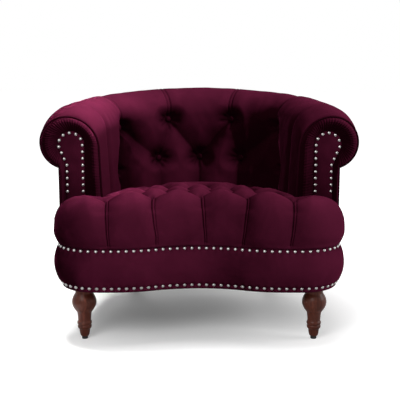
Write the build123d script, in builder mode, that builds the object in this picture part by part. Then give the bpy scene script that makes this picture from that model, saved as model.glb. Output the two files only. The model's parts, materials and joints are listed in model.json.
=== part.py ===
from build123d import *
import math
import os

# Tufted accent chair. Millimetres and degrees; X to the right seen from the front, front towards -Y, Z up.
# The origin lies on the floor under the middle of the whole chair.

os.makedirs("parts", exist_ok=True)

# Front of the seat, in plan
half_width = 450.0  # nail line at the sides of the base
front_dip = 51.0  # the middle of the front lies this far behind its foremost points
bulge_x = 275.0  # where the front comes foremost
arm_setback = 150.0  # from the foremost front back to the arm fronts
side_run = 26.0  # straight part of the base just before the arm

# Arms and back, in plan, measured to the inside line at seat level
barrel_radius = 274.0
barrel_setback = 353.0  # from the foremost front back to the centre of the barrel
arm_toe = 9.8  # the arms close in towards the back
pleat_angle = 24.0  # the pleat where an arm meets the back, from the X axis
upright_angle = 68.0  # the inner pair of uprights in the back

# Layers outward from the inside line
foot_lean = 10.0  # the padding stands this far inside the line at the seat
pad_thickness = 60.0
tack_thickness = 25.0
post_depth = 40.0
tenon_size = 24.0
rail_thickness = 28.0
panel_thickness = 6.0
wall_out = 134.0  # outside face of the outer panels

# Rolled top
roll_n = 109.0
roll_radius = 100.0
arm_height = 752.0
back_rise = 22.0  # the roll climbs this much from arm front to back
climb_bend = 3.0  # the climb lies mostly at the back
nose_length = 110.0  # from the arm face to the seam behind it
nose_swell = 0.8  # how much of the swell is reached half-way along the nose
nose_drop = 39.0  # the arm face is lower than the roll behind it

# Arm facing
face_n = 115.0
face_top = arm_height - nose_drop
face_inner_radius = 101.0
face_outer_radius = 80.0
face_foot = 1.0
face_thickness = 16.0
face_round = 9.0
stump_thickness = 25.0
stump_inset = 12.0
welt_radius = 3.5
panel_n = 101.0
panel_drop = 86.0  # from the top of the arm face to the middle of the panel's round
panel_z = face_top - panel_drop
panel_radius = 44.5
panel_stem = 120.0  # outer edge of the stem of the centre panel
panel_neck = 38.0  # how far the round of the centre panel turns in to its stem
panel_taper = 2.4  # fall per step inwards, from the round to the stem
panel_recess = 3.0
panel_plate = 5.0

# Heights
leg_height = 173.0
plate_thickness = 2.0
rail_height = 135.0
web_thickness = 2.0
seat_rise = 176.0  # from the deck up to the crest of the seat
top_rail_drop = 166.0  # from the top of the roll down to the rail inside it
top_rail_height = 40.0
top_rail_width = 40.0
top_rail_shift = 8.0
rail_slot = 4.0  # room below the top rail in the padding
tack_rise = 30.0
tack_height = 40.0
block_height = 45.0
front_block_width = 110.0
front_block_shift = 16.0
rear_block_width = 110.0
rear_block_depth = 90.0

# Front band
band_depth = 22.0
band_bulge = 22.5
band_bulge_rise = 79.0
band_radius = 120.0

# Seat cushion
seat_overhang = 22.0
seat_crown_radius = 3000.0
seat_slope = 6.5
seat_round = 54.0
seat_tuck = 24.0
ear_gap = 3.0

# Buttons and tufts
button_radius = 11.0
button_height = 6.0
tuft_reach = 58.0
tuft_floor = 2.0  # the floor of a tuft, wider than its button
tuft_lip = 6.0
cutter_length = 70.0  # how far the fold cutters reach out of the padding
seat_tuft_depth = 36.0
back_tuft_depth = 34.0
column_pitch = 150.0
row_pitch = 108.0
first_row = 72.0  # first row of seat buttons behind the front edge
tuft_rows = 5
fold_half_width = 14.0
fold_depth = 12.0
upper_button_drop = 90.0
outer_button_drop = 14.0  # the outer buttons sit lower than the inner ones
lower_button_rise = 28.0
lower_spread = 30.0
arm_button_angle = 12.0
pleat_half_width = 2.5
pleat_depth = 8.0

# Nailheads
nail_radius = 5.5
nail_sides = 8
nail_height = 3.5
nail_slope = 2.4  # how far the rim of a nailhead is bevelled
nail_pitch = 24.0
face_nail_pitch = 21.5
nail_inset = 7.0  # from the band's upper edge
hem_height = 14.0  # from the band's lower edge up to the lower nails
facing_nail_drop = 17.0  # the lowest nails of a facing, below the crest of the seat

# Legs
front_leg_inset = 77.0  # from the nail line at the sides
front_leg_back = 75.0
collar_radius = 27.5
ball_radius = 39.5
ball_drop = 48.0
belly_turn = math.radians(28.0)  # where the ball runs out towards the neck
neck_radius = 23.0
neck_drop = 84.0
stem_radius = 20.5
stem_drop = 113.0
ring_radius = 23.3
ring_height = 12.0
bead_radius = 22.0
bead_height = 14.0
ankle_radius = 17.0
toe_radius = 13.0
toe_z = 14.0
rear_leg_share = 0.86  # rear leg from the middle, as a share of the barrel's radius
rear_leg_inset = 30.0
rear_leg_top = 48.0
rear_leg_foot = 32.0
rear_leg_rake = 52.0
glide_height = 8.0
glide_radius = 10.0
glide_sides = 12
cloth_gap = 2.0
leg_plate_radius = 29.0
plate_sides = 8
bolt_radius = 4.0
bolt_sides = 6
bolt_in_leg = 40.0
fit = 0.3
strap_inset = 6.0  # the straps stop this far inside the rails' outer faces
strap_pitch = 85.0
strap_width = 50.0
outer_straps = 2.35  # place of the outer straps, in pitches

# Derived levels and places
overall_depth = seat_overhang + barrel_setback + barrel_radius + roll_n + roll_radius
front_y = seat_overhang - overall_depth / 2
face_y = front_y + arm_setback
center_y = front_y + barrel_setback
corner_radius = arm_setback - side_run
corner_x = half_width - corner_radius
frame_bottom = leg_height + plate_thickness
rail_top = frame_bottom + rail_height
seat_bottom = rail_top + 3 * web_thickness
seat_height = seat_bottom + seat_rise
top_rail_z = arm_height - top_rail_drop
tack_z = rail_top + tack_rise
band_bulge_z = leg_height + band_bulge_rise
upper_button_z = arm_height - upper_button_drop
lower_button_z = seat_height + lower_button_rise
lower_nail_z = leg_height + hem_height
facing_nail_foot = seat_height - facing_nail_drop
ball_z = leg_height - ball_drop
neck_z = leg_height - neck_drop
stem_z = leg_height - stem_drop
front_leg_x = half_width - front_leg_inset
rear_leg_x = rear_leg_share * barrel_radius
pad_foot_z = seat_bottom + 2
wall_in = wall_out - panel_thickness
rail_in = wall_in - rail_thickness
tack_out = pad_thickness + tack_thickness
ear_y = face_y - face_thickness - ear_gap
front_leg_y = front_y + front_leg_back
toe_cos = math.cos(math.radians(arm_toe))
toe_sin = math.sin(math.radians(arm_toe))
face_run = (barrel_setback - arm_setback + barrel_radius * toe_sin) / toe_cos
dip_radius = (bulge_x**2 + front_dip**2) / (4 * front_dip)
dip_angle = math.asin(bulge_x / (2 * dip_radius))


def save(part, name):
    part.label = name
    export_step(part, "parts/" + name + ".step")


def save_pair(part, name):
    save(part, "right_" + name)
    with BuildPart() as other_side:
        mirror(part, about=Plane.YZ)
    save(other_side.part, "left_" + name)


# Plan geometry shared by all pieces
def barrel_point(angle, n):
    reach = barrel_radius + n
    turn = math.radians(angle)
    return (reach * math.cos(turn), center_y + reach * math.sin(turn))


def arm_point(y, n):
    x, tangent_y = barrel_point(arm_toe, n)
    return (x + (tangent_y - y) * toe_sin / toe_cos, y)


def barrel_station(angle):
    turn = math.radians(angle)
    x, y = barrel_point(angle, 0)
    outward = (math.cos(turn), math.sin(turn), 0)
    ahead = (math.sin(turn), -math.cos(turn), 0)
    return Plane(origin=(x, y, 0), x_dir=outward, z_dir=ahead)


def arm_station(ahead):
    x, y = barrel_point(arm_toe, 0)
    origin = (x + ahead * toe_sin, y - ahead * toe_cos, 0)
    return Plane(origin=origin, x_dir=(toe_cos, toe_sin, 0), z_dir=(toe_sin, -toe_cos, 0))


face_x = arm_point(face_y, 0)[0]
face_plane = Plane(origin=(face_x, face_y, 0), x_dir=(1, 0, 0), z_dir=(0, -1, 0))


def front_line(t, end_y):
    start = (0, front_y + front_dip - t)
    bend_x = bulge_x / 2 - t * math.sin(dip_angle)
    bend_y = front_y + front_dip / 2 - t * math.cos(dip_angle)
    TangentArc(start, (bend_x, bend_y), tangent=(1, 0))
    TangentArc((bend_x, bend_y), (bulge_x, front_y - t), tangent=(math.cos(dip_angle), -math.sin(dip_angle)))
    Line((bulge_x, front_y - t), (corner_x, front_y - t))
    TangentArc((corner_x, front_y - t), (half_width + t, front_y + corner_radius), tangent=(1, 0))
    Line((half_width + t, front_y + corner_radius), (half_width + t, end_y))


def front_edge_y(x):
    ahead = bulge_x - abs(x)
    if abs(x) < bulge_x / 2:
        return front_y + front_dip - dip_radius + math.sqrt(dip_radius**2 - x**2)
    if ahead > 0:
        return front_y + dip_radius - math.sqrt(dip_radius**2 - ahead**2)
    return front_y


def base_region(t, end_y, mode=Mode.ADD):
    with BuildLine() as outline:
        front_line(t, end_y)
        Line((half_width + t, end_y), (0, end_y))
        mirror(about=Plane.YZ)
    make_face(outline.edges(), mode=mode)


def inner_region(n, start_y, mode=Mode.ADD):
    with BuildLine() as outline:
        Polyline((0, start_y), arm_point(start_y, n), barrel_point(arm_toe, n))
        CenterArc((0, center_y), barrel_radius + n, arm_toe, 90 - arm_toe)
        mirror(about=Plane.YZ)
    make_face(outline.edges(), mode=mode)


def arm_strip(n_in, n_out, start_y):
    with BuildLine() as outline:
        Line(arm_point(start_y, n_out), barrel_point(arm_toe, n_out))
        CenterArc((0, center_y), barrel_radius + n_out, arm_toe, pleat_angle - arm_toe)
        Line(barrel_point(pleat_angle, n_out), barrel_point(pleat_angle, n_in))
        CenterArc((0, center_y), barrel_radius + n_in, arm_toe, pleat_angle - arm_toe)
        Polyline(barrel_point(arm_toe, n_in), arm_point(start_y, n_in), arm_point(start_y, n_out))
    make_face(outline.edges())


def back_strip(n_in, n_out):
    sweep_angle = 180 - 2 * pleat_angle
    with BuildLine() as outline:
        CenterArc((0, center_y), barrel_radius + n_out, pleat_angle, sweep_angle)
        Line(barrel_point(180 - pleat_angle, n_out), barrel_point(180 - pleat_angle, n_in))
        CenterArc((0, center_y), barrel_radius + n_in, pleat_angle, sweep_angle)
        Line(barrel_point(pleat_angle, n_in), barrel_point(pleat_angle, n_out))
    make_face(outline.edges())


# Section of the padded wall with its roll
def roll_rise(y):
    share = (y - face_y) / (barrel_setback - arm_setback + barrel_radius)
    return back_rise * max(0, share) ** climb_bend


def inner_tangent(top_n, top_z, radius, foot_n, foot_z):
    run = top_n - foot_n
    rise = top_z - radius - foot_z
    lean = math.atan2(rise, run) + math.asin(radius / math.hypot(run, rise))
    return math.degrees(lean)


def pad_section(top_n, top_z, inner_radius, outer_radius, out_n, foot_n):
    lean = inner_tangent(top_n, top_z, inner_radius, foot_n, pad_foot_z)
    inner_mid = (top_n, top_z - inner_radius)
    outer_mid = (top_n, top_z - outer_radius)
    drop = math.acos((out_n - top_n) / outer_radius)
    back_n = pad_thickness - fit
    under = (out_n, outer_mid[1] - outer_radius * math.sin(drop))
    with BuildLine() as outline:
        over = CenterArc(inner_mid, inner_radius, 90, lean)
        Line((foot_n, pad_foot_z), over @ 1)
        CenterArc(outer_mid, outer_radius, 0, 90)
        CenterArc(outer_mid, outer_radius, -math.degrees(drop), math.degrees(drop))
        Polyline(under, (out_n, top_rail_z), (back_n, top_rail_z), (back_n, pad_foot_z))
        Line((back_n, pad_foot_z), (foot_n, pad_foot_z))
    make_face(outline.edges())


def wall_section(plane):
    top_z = arm_height + roll_rise(plane.origin.Y)
    with BuildSketch(plane) as section:
        pad_section(roll_n, top_z, roll_radius, roll_radius, wall_out + fit, -foot_lean)
    return section.sketch


def inner_n(z, y):
    top_z = arm_height + roll_rise(y)
    lean = inner_tangent(roll_n, top_z, roll_radius, -foot_lean, pad_foot_z)
    return -foot_lean + (z - pad_foot_z) / math.tan(math.radians(lean))


# Outline of the arm facing, drawn inset from the padded edge
def scroll_line(inset, bottom):
    foot_n = face_foot + inset
    inner_radius = face_inner_radius - inset
    outer_radius = face_outer_radius - inset
    out_n = wall_out / toe_cos - inset
    inner_mid = (face_n, face_top - face_inner_radius)
    outer_mid = (face_n, face_top - face_outer_radius)
    lean = inner_tangent(face_n, face_top - inset, inner_radius, foot_n, bottom)
    drop = math.acos((out_n - face_n) / outer_radius)
    over = CenterArc(inner_mid, inner_radius, 90, lean)
    Line((foot_n, bottom), over @ 1)
    CenterArc(outer_mid, outer_radius, -math.degrees(drop), 90 + math.degrees(drop))
    return (out_n, outer_mid[1] - outer_radius * math.sin(drop))


def scroll_region(inset, bottom):
    with BuildLine() as outline:
        under = scroll_line(inset, bottom)
        Polyline(under, (under[0], bottom), (face_foot + inset, bottom))
    make_face(outline.edges())


# Centre panel of the facing: a keyhole with a straight stem
def keyhole_line(inset, bottom):
    radius = panel_radius - inset
    inner_edge = panel_n - radius
    outer_edge = panel_stem - inset
    lower = math.radians(panel_neck)
    neck = (panel_n + radius * math.cos(lower), panel_z - radius * math.sin(lower))
    stem_top = (outer_edge, neck[1] - panel_taper * (neck[0] - outer_edge))
    Line((inner_edge, bottom), (inner_edge, panel_z))
    CenterArc((panel_n, panel_z), radius, -panel_neck, 180 + panel_neck)
    Polyline(neck, stem_top, (outer_edge, bottom))


def keyhole_region(inset, bottom):
    with BuildLine() as outline:
        keyhole_line(inset, bottom)
        Line((panel_stem - inset, bottom), (panel_n - panel_radius + inset, bottom))
    make_face(outline.edges())


# Wooden frame
with BuildPart() as front_rail:
    with BuildSketch(Plane.XY.offset(frame_bottom)):
        base_region(-band_depth, face_y)
        base_region(-band_depth - rail_thickness, face_y, mode=Mode.SUBTRACT)
    extrude(amount=rail_height)
save(front_rail.part, "front_rail")

with BuildPart() as side_rail:
    with BuildSketch(Plane.XY.offset(frame_bottom)):
        arm_strip(rail_in, wall_in, face_y + stump_thickness)
    extrude(amount=rail_height)
save_pair(side_rail.part, "side_rail")

with BuildPart() as back_rail:
    with BuildSketch(Plane.XY.offset(frame_bottom)):
        back_strip(rail_in, wall_in)
    extrude(amount=rail_height)
save(back_rail.part, "back_rail")

with BuildPart() as arm_stump:
    with BuildSketch(face_plane):
        with BuildLine():
            neck = scroll_line(stump_inset, seat_bottom)
            foot_in = (face_foot + stump_inset, seat_bottom)
            Polyline(neck, (neck[0], frame_bottom), (foot_in[0], frame_bottom), foot_in)
        make_face()
    extrude(amount=-stump_thickness)
save_pair(arm_stump.part, "arm_stump")

top_rail_in = tack_out + top_rail_shift
uprights = {}
for upright_name, angle in (("back_post", pleat_angle), ("back_upright", upright_angle)):
    foot_mid = barrel_point(angle, tack_out + post_depth / 2)
    tenon_mid = barrel_point(angle, top_rail_in + top_rail_width / 2)
    with BuildPart() as upright:
        with BuildSketch(Plane.XY.offset(rail_top)):
            with Locations(Location((foot_mid[0], foot_mid[1], 0), (0, 0, angle))):
                Rectangle(post_depth, post_depth)
        extrude(amount=top_rail_z - rail_top)
        with BuildSketch(Plane.XY.offset(top_rail_z)):
            with Locations(Location((tenon_mid[0], tenon_mid[1], 0), (0, 0, angle))):
                Rectangle(tenon_size / 2, tenon_size)
        extrude(amount=top_rail_height / 2)
    uprights[upright_name] = upright.part
    save_pair(upright.part, upright_name)

with BuildPart() as arm_top_rail:
    with BuildSketch(Plane.XY.offset(top_rail_z)):
        arm_strip(top_rail_in, top_rail_in + top_rail_width, face_y + stump_thickness)
    extrude(amount=top_rail_height)
    add(uprights["back_post"], mode=Mode.SUBTRACT)
save_pair(arm_top_rail.part, "arm_top_rail")

with BuildPart() as back_top_rail:
    with BuildSketch(Plane.XY.offset(top_rail_z)):
        back_strip(top_rail_in, top_rail_in + top_rail_width)
    extrude(amount=top_rail_height)
    for tenon in uprights.values():
        add(tenon, mode=Mode.SUBTRACT)
        mirror(tenon, about=Plane.YZ, mode=Mode.SUBTRACT)
save(back_top_rail.part, "back_top_rail")

with BuildPart() as arm_tack_rail:
    with BuildSketch(Plane.XY.offset(tack_z)):
        arm_strip(pad_thickness, tack_out, face_y + stump_thickness)
    extrude(amount=tack_height)
save_pair(arm_tack_rail.part, "arm_tack_rail")

with BuildPart() as back_tack_rail:
    with BuildSketch(Plane.XY.offset(tack_z)):
        back_strip(pad_thickness, tack_out)
    extrude(amount=tack_height)
save(back_tack_rail.part, "back_tack_rail")

# Blocks that take the legs, in the corners of the rails
rear_leg_y = center_y + math.sqrt((barrel_radius + rail_in) ** 2 - rear_leg_x**2) - rear_leg_inset
bolt_bottom = leg_height - bolt_in_leg
bolt_length = bolt_in_leg + plate_thickness + block_height
leg_places = [(front_leg_x, front_leg_y), (-front_leg_x, front_leg_y)]
leg_places += [(rear_leg_x, rear_leg_y), (-rear_leg_x, rear_leg_y)]

with BuildPart() as leg_bolts:
    with BuildSketch(Plane.XY.offset(bolt_bottom)):
        with Locations(*leg_places):
            RegularPolygon(bolt_radius, bolt_sides)
    extrude(amount=bolt_length)
save(leg_bolts.part, "leg_bolts")

with BuildPart() as leg_plates:
    with BuildSketch(Plane.XY.offset(leg_height)):
        with Locations(*leg_places):
            RegularPolygon(leg_plate_radius, plate_sides)
            RegularPolygon(bolt_radius, bolt_sides, mode=Mode.SUBTRACT)
    extrude(amount=plate_thickness)
save(leg_plates.part, "leg_plates")

with BuildPart() as front_block:
    with BuildSketch(Plane.XY.offset(frame_bottom)):
        base_region(-band_depth - rail_thickness, face_y)
        with Locations((front_leg_x - front_block_shift, face_y)):
            Rectangle(front_block_width, 2 * arm_setback, mode=Mode.INTERSECT)
        with Locations((front_leg_x, front_leg_y)):
            RegularPolygon(bolt_radius, bolt_sides, mode=Mode.SUBTRACT)
    extrude(amount=block_height)
save_pair(front_block.part, "front_corner_block")

with BuildPart() as rear_block:
    with BuildSketch(Plane.XY.offset(frame_bottom)):
        with Locations((0, center_y)):
            Circle(barrel_radius + rail_in)
        with Locations((rear_leg_x, rear_leg_y)):
            Rectangle(rear_block_width, rear_block_depth, mode=Mode.INTERSECT)
            RegularPolygon(bolt_radius, bolt_sides, mode=Mode.SUBTRACT)
    extrude(amount=block_height)
save_pair(rear_block.part, "rear_corner_block")

# Seat support and the cloth under the frame
with BuildSketch() as support_area:
    base_region(-band_depth - strap_inset, face_y)
    inner_region(wall_in - strap_inset, face_y)

with BuildPart() as seat_webbing:
    with BuildSketch(Plane.XY.offset(rail_top)):
        for strap_place in (-outer_straps, -1, 0, 1, outer_straps):
            with Locations((strap_place * strap_pitch, 0)):
                Rectangle(strap_width, 2 * overall_depth)
        add(support_area.sketch, mode=Mode.INTERSECT)
    extrude(amount=web_thickness)
    with BuildSketch(Plane.XY.offset(rail_top + web_thickness)):
        for strap_step in (0, 1, 2):
            with Locations((0, face_y + stump_thickness + strap_width + strap_step * strap_pitch)):
                Rectangle(3 * half_width, strap_width)
        add(support_area.sketch, mode=Mode.INTERSECT)
    extrude(amount=web_thickness)
save(seat_webbing.part, "seat_webbing")

with BuildPart() as deck_cloth:
    with BuildSketch(Plane.XY.offset(rail_top + 2 * web_thickness)):
        base_region(-band_depth, face_y)
        inner_region(0, face_y)
        inner_region(tack_out - 5, face_y + stump_thickness)
    extrude(amount=web_thickness)
save(deck_cloth.part, "deck_cloth")

with BuildPart() as dust_cover:
    with BuildSketch(Plane.XY.offset(leg_height)):
        base_region(-band_depth - cloth_gap, face_y)
        inner_region(wall_in - cloth_gap, face_y)
        with Locations(*leg_places):
            RegularPolygon(leg_plate_radius + cloth_gap, plate_sides, mode=Mode.SUBTRACT)
    extrude(amount=plate_thickness)
save(dust_cover.part, "dust_cover")

# Outside panels
with BuildPart() as outside_arm:
    with BuildSketch(Plane.XY.offset(leg_height)):
        arm_strip(wall_in, wall_out, face_y)
    extrude(amount=top_rail_z - leg_height)
    add(arm_stump.part, mode=Mode.SUBTRACT)
save_pair(outside_arm.part, "outside_arm")

with BuildPart() as outside_back:
    with BuildSketch(Plane.XY.offset(leg_height)):
        back_strip(wall_in, wall_out)
    extrude(amount=top_rail_z - leg_height)
save(outside_back.part, "outside_back")

# Front band, bulged between its two rows of nails
def band_t(z):
    return band_bulge - band_radius + math.sqrt(band_radius**2 - (z - band_bulge_z) ** 2)


with BuildPart() as front_band:
    with BuildLine() as band_path:
        front_line(0, face_y)
        mirror(about=Plane.YZ)
    with BuildSketch(Plane(origin=(half_width, face_y, 0), x_dir=(1, 0, 0), z_dir=(0, -1, 0))):
        with BuildLine():
            top = (band_t(seat_bottom), seat_bottom)
            bottom = (band_t(leg_height), leg_height)
            ThreePointArc(top, (band_bulge, band_bulge_z), bottom)
            Polyline(bottom, (-band_depth, leg_height), (-band_depth, seat_bottom), top)
        make_face()
    sweep(path=band_path.wires()[0])
save(front_band.part, "front_band")

# Padded walls with the rolled top
def tuft_profile(surface, depth, level):
    lip = (surface - tuft_lip, level + tuft_reach + tuft_lip)
    floor = (surface + depth, level + button_radius + tuft_floor)
    with BuildLine() as outline:
        Polyline(lip, floor, (surface + depth, level), (surface - tuft_reach, level))
        Polyline((surface - tuft_reach, level), (surface - tuft_reach, lip[1]), lip)
    make_face(outline.edges())


upper_inner = (upright_angle, upper_button_z)
upper_outer = (pleat_angle, upper_button_z - outer_button_drop)
lower_middle = (90.0, lower_button_z)
lower_inner = (90 - lower_spread, lower_button_z)
lower_outer = (arm_button_angle, lower_button_z - outer_button_drop)
half_buttons = [upper_inner, upper_outer, lower_inner, lower_outer]
wall_buttons = half_buttons + [lower_middle] + [(180 - angle, z) for angle, z in half_buttons]
half_folds = [(upper_inner, lower_middle), (upper_inner, lower_inner), (upper_outer, lower_inner)]


def wall_tuft(angle, level):
    station = barrel_station(angle)
    surface = inner_n(level, station.origin.Y)
    with BuildSketch(station) as half_tuft:
        tuft_profile(surface, back_tuft_depth, level)
    axis = Axis(station.from_local_coords((0, level)), station.x_dir)
    revolve(half_tuft.sketch, axis=axis, mode=Mode.SUBTRACT)


def wall_fold(start, end):
    middle = ((start[0] + end[0]) / 2, (start[1] + end[1]) / 2)
    stops = (start, middle, end)
    depths = (back_tuft_depth - 4, fold_depth, back_tuft_depth - 4)
    deep = []
    for (angle, level), depth in zip(stops, depths):
        station = barrel_station(angle)
        deep.append(station.from_local_coords((inner_n(level, station.origin.Y) + depth, level)))
    along = (deep[2] - deep[0]).normalized()
    shapes = []
    for (angle, level), point in zip(stops, deep):
        inward = barrel_station(angle).x_dir * -1
        with BuildSketch(Plane(origin=point, x_dir=inward - along * inward.dot(along), z_dir=along)) as cut:
            Polygon((0, 0), (cutter_length, fold_half_width), (cutter_length, -fold_half_width), align=None)
        shapes.append(cut.sketch)
    loft(sections=shapes, ruled=True, mode=Mode.SUBTRACT)


def roll_pleat(angle):
    station = barrel_station(angle)
    middle = (roll_n, arm_height + roll_rise(station.origin.Y) - roll_radius)
    with BuildSketch(station) as crease:
        with Locations(middle):
            Circle(roll_radius + cutter_length)
            Circle(roll_radius - pleat_depth, mode=Mode.SUBTRACT)
        with Locations((middle[0], middle[1] + roll_radius)):
            Rectangle(4 * roll_radius, 2 * roll_radius, mode=Mode.INTERSECT)
    extrude(crease.sketch, amount=pleat_half_width, both=True, mode=Mode.SUBTRACT)


def skirt_pleat(angle, level):
    station = barrel_station(angle)
    top_n = inner_n(level, station.origin.Y) + pleat_depth
    with BuildSketch(station) as crease:
        Polygon((top_n, level), (pleat_depth - foot_lean, pad_foot_z), (-cutter_length, pad_foot_z), (-cutter_length, level), align=None)
    extrude(crease.sketch, amount=pleat_half_width, both=True, mode=Mode.SUBTRACT)


def wall_sections(angles):
    return [wall_section(barrel_station(angle)) for angle in angles]


with BuildPart() as inside_back:
    steps = 8
    spread = (180 - 2 * pleat_angle) / steps
    loft(sections=wall_sections([pleat_angle + spread * i for i in range(steps + 1)]))
    with BuildSketch(Plane.XY.offset(top_rail_z - rail_slot)):
        back_strip(top_rail_in, top_rail_in + top_rail_width)
    extrude(amount=top_rail_height + rail_slot, mode=Mode.SUBTRACT)
    for angle, level in wall_buttons:
        if pleat_angle - 1 < angle < 181 - pleat_angle:
            wall_tuft(angle, level)
    for upper, lower in half_folds:
        wall_fold(upper, lower)
        wall_fold((180 - upper[0], upper[1]), (180 - lower[0], lower[1]))
    for angle in (upright_angle, 180 - upright_angle):
        roll_pleat(angle)
    for angle, level in (lower_inner, lower_middle, (180 - lower_inner[0], lower_inner[1])):
        skirt_pleat(angle, level)
save(inside_back.part, "inside_back")

seam_ahead = face_run - nose_length
with BuildPart() as inside_arm:
    bend_step = (pleat_angle - arm_toe) / 2
    straight = [wall_section(arm_station(seam_ahead * i / 2)) for i in (2, 1, 0)]
    loft(sections=straight + wall_sections([arm_toe + bend_step, pleat_angle]))
    with BuildSketch(Plane.XY.offset(top_rail_z - rail_slot)):
        arm_strip(top_rail_in, top_rail_in + top_rail_width, face_y + stump_thickness)
    extrude(amount=top_rail_height + rail_slot, mode=Mode.SUBTRACT)
    for angle, level in wall_buttons:
        if angle < pleat_angle + 1:
            wall_tuft(angle, level)
    wall_fold(upper_outer, lower_outer)
    skirt_pleat(*lower_outer)
save_pair(inside_arm.part, "inside_arm")

with BuildPart() as arm_nose:
    with BuildSketch(face_plane):
        out_n = wall_out / toe_cos + 4 * fit
        pad_section(face_n, face_top, face_inner_radius, face_outer_radius, out_n, face_foot)
    with BuildSketch(arm_station(face_run - nose_length / 2)):
        mid_n = face_n + nose_swell * (roll_n - face_n)
        mid_top = face_top + nose_swell * (arm_height - face_top)
        mid_radius = face_outer_radius + nose_swell * (roll_radius - face_outer_radius)
        pad_section(mid_n, mid_top, roll_radius, mid_radius, wall_out + 6 * fit, -foot_lean / 2)
    with BuildSketch(arm_station(seam_ahead)):
        seam_top = arm_height + roll_rise(arm_station(seam_ahead).origin.Y)
        pad_section(roll_n, seam_top, roll_radius, roll_radius - fit, wall_out + 3 * fit, -foot_lean)
    loft()
    with BuildSketch(Plane.XY.offset(top_rail_z - rail_slot)):
        arm_strip(top_rail_in, top_rail_in + top_rail_width, face_y + stump_thickness)
    extrude(amount=top_rail_height + rail_slot, mode=Mode.SUBTRACT)
    add(arm_stump.part, mode=Mode.SUBTRACT)
save_pair(arm_nose.part, "arm_front_border")

# Arm facing: gathered border, centre panel and welt
facing_bottom = seat_bottom + 2
with BuildPart() as facing:
    with BuildSketch(face_plane):
        scroll_region(0, facing_bottom)
    extrude(amount=face_thickness)
    front_edges = facing.faces().sort_by(Axis.Y)[0].edges()
    fillet(front_edges.sort_by(Axis.Z)[1:], radius=face_round)
    with BuildSketch(face_plane.offset(face_thickness)):
        keyhole_region(0, facing_bottom + 10)
    extrude(amount=-panel_recess, mode=Mode.SUBTRACT)
save_pair(facing.part, "arm_facing")

with BuildPart() as facing_panel:
    with BuildSketch(face_plane.offset(face_thickness - panel_recess)):
        keyhole_region(0, facing_bottom + 10)
    extrude(amount=panel_plate)
save_pair(facing_panel.part, "facing_panel")

with BuildPart() as welt:
    welt_plane = face_plane.offset(welt_radius)
    with BuildLine(welt_plane) as welt_path:
        scroll_line(-welt_radius - fit / 3, facing_bottom)
    welt_start = welt_path.wires()[0]
    with BuildSketch(Plane(origin=welt_start @ 0, z_dir=welt_start % 0)):
        RegularPolygon(welt_radius, 6)
    sweep(path=welt_start)
save_pair(welt.part, "arm_welt")

# Seat cushion: serpentine front with ears, crowned and buttoned
def seat_z(x, y):
    crest_y = front_y + first_row
    return seat_height - x * x / (2 * seat_crown_radius) - (y - crest_y) * math.tan(math.radians(seat_slope))


def inside_half_width(y):
    if y < barrel_point(arm_toe, 0)[1]:
        return arm_point(y, -foot_lean)[0]
    return math.sqrt(max(0, (barrel_radius - foot_lean) ** 2 - (y - center_y) ** 2))


seat_buttons_at = []
for row in range(tuft_rows):
    for column in range(-5, 6):
        x = column * column_pitch / 2
        y = front_y + first_row + front_dip / 2 + row * row_pitch
        if row == 0:
            y = front_edge_y(x) + first_row
        limit = bulge_x + 40 if row == 0 else inside_half_width(y) - 26
        if (column + row) % 2 == 0 and abs(x) < limit:
            seat_buttons_at.append((row, x, y))


def seat_tuft(x, y):
    side = Plane(origin=(x, y, 0), x_dir=(0, 0, -1), z_dir=(0, -1, 0))
    with BuildSketch(side) as half_tuft:
        tuft_profile(-seat_z(x, y), seat_tuft_depth, 0)
    revolve(half_tuft.sketch, axis=Axis((x, y, 0), (0, 0, 1)), mode=Mode.SUBTRACT)


def seat_fold(start, end):
    middle = ((start[0] + end[0]) / 2, (start[1] + end[1]) / 2)
    depths = (seat_tuft_depth - 4, fold_depth, seat_tuft_depth - 4)
    along = Vector(end[0] - start[0], end[1] - start[1], 0).normalized()
    shapes = []
    for (x, y), depth in zip((start, middle, end), depths):
        with BuildSketch(Plane(origin=(x, y, seat_z(x, y) - depth), x_dir=(0, 0, 1), z_dir=along)) as cut:
            Polygon((0, 0), (cutter_length, fold_half_width), (cutter_length, -fold_half_width), align=None)
        shapes.append(cut.sketch)
    loft(sections=shapes, ruled=True, mode=Mode.SUBTRACT)


def seat_pleat(x, y):
    front = front_edge_y(x) - seat_overhang
    top = seat_z(x, front + seat_round)
    inner = seat_round - pleat_depth
    corner = (front + seat_round, top - seat_round)
    with BuildLine() as outline:
        CenterArc(corner, inner, 90, 90)
        Polyline((front + seat_round, top - pleat_depth), (y, seat_z(x, y) - pleat_depth), (y, top + 60))
        Polyline((y, top + 60), (front - 60, top + 60), (front - 60, seat_bottom + seat_tuck))
        Polyline((front - 60, seat_bottom + seat_tuck), (front + pleat_depth, seat_bottom + seat_tuck))
        Line((front + pleat_depth, seat_bottom + seat_tuck), (front + pleat_depth, top - seat_round))
    with BuildSketch(Plane(origin=(x, 0, 0), x_dir=(0, 1, 0), z_dir=(1, 0, 0))) as crease:
        make_face(outline.edges())
    extrude(crease.sketch, amount=pleat_half_width, both=True, mode=Mode.SUBTRACT)


crown_plane = Plane(origin=(0, front_y + first_row, seat_height), x_dir=(1, 0, 0), z_dir=(0, -1, 0))
with BuildSketch(crown_plane.rotated((-seat_slope, 0, 0))) as crown:
    reach = half_width + 60
    edge_drop = -reach * reach / (2 * seat_crown_radius)
    low = seat_bottom - seat_height - 200
    with BuildLine():
        ThreePointArc((-reach, edge_drop), (0, 0), (reach, edge_drop))
        Polyline((-reach, edge_drop), (-reach, low), (reach, low), (reach, edge_drop))
    make_face()

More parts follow.
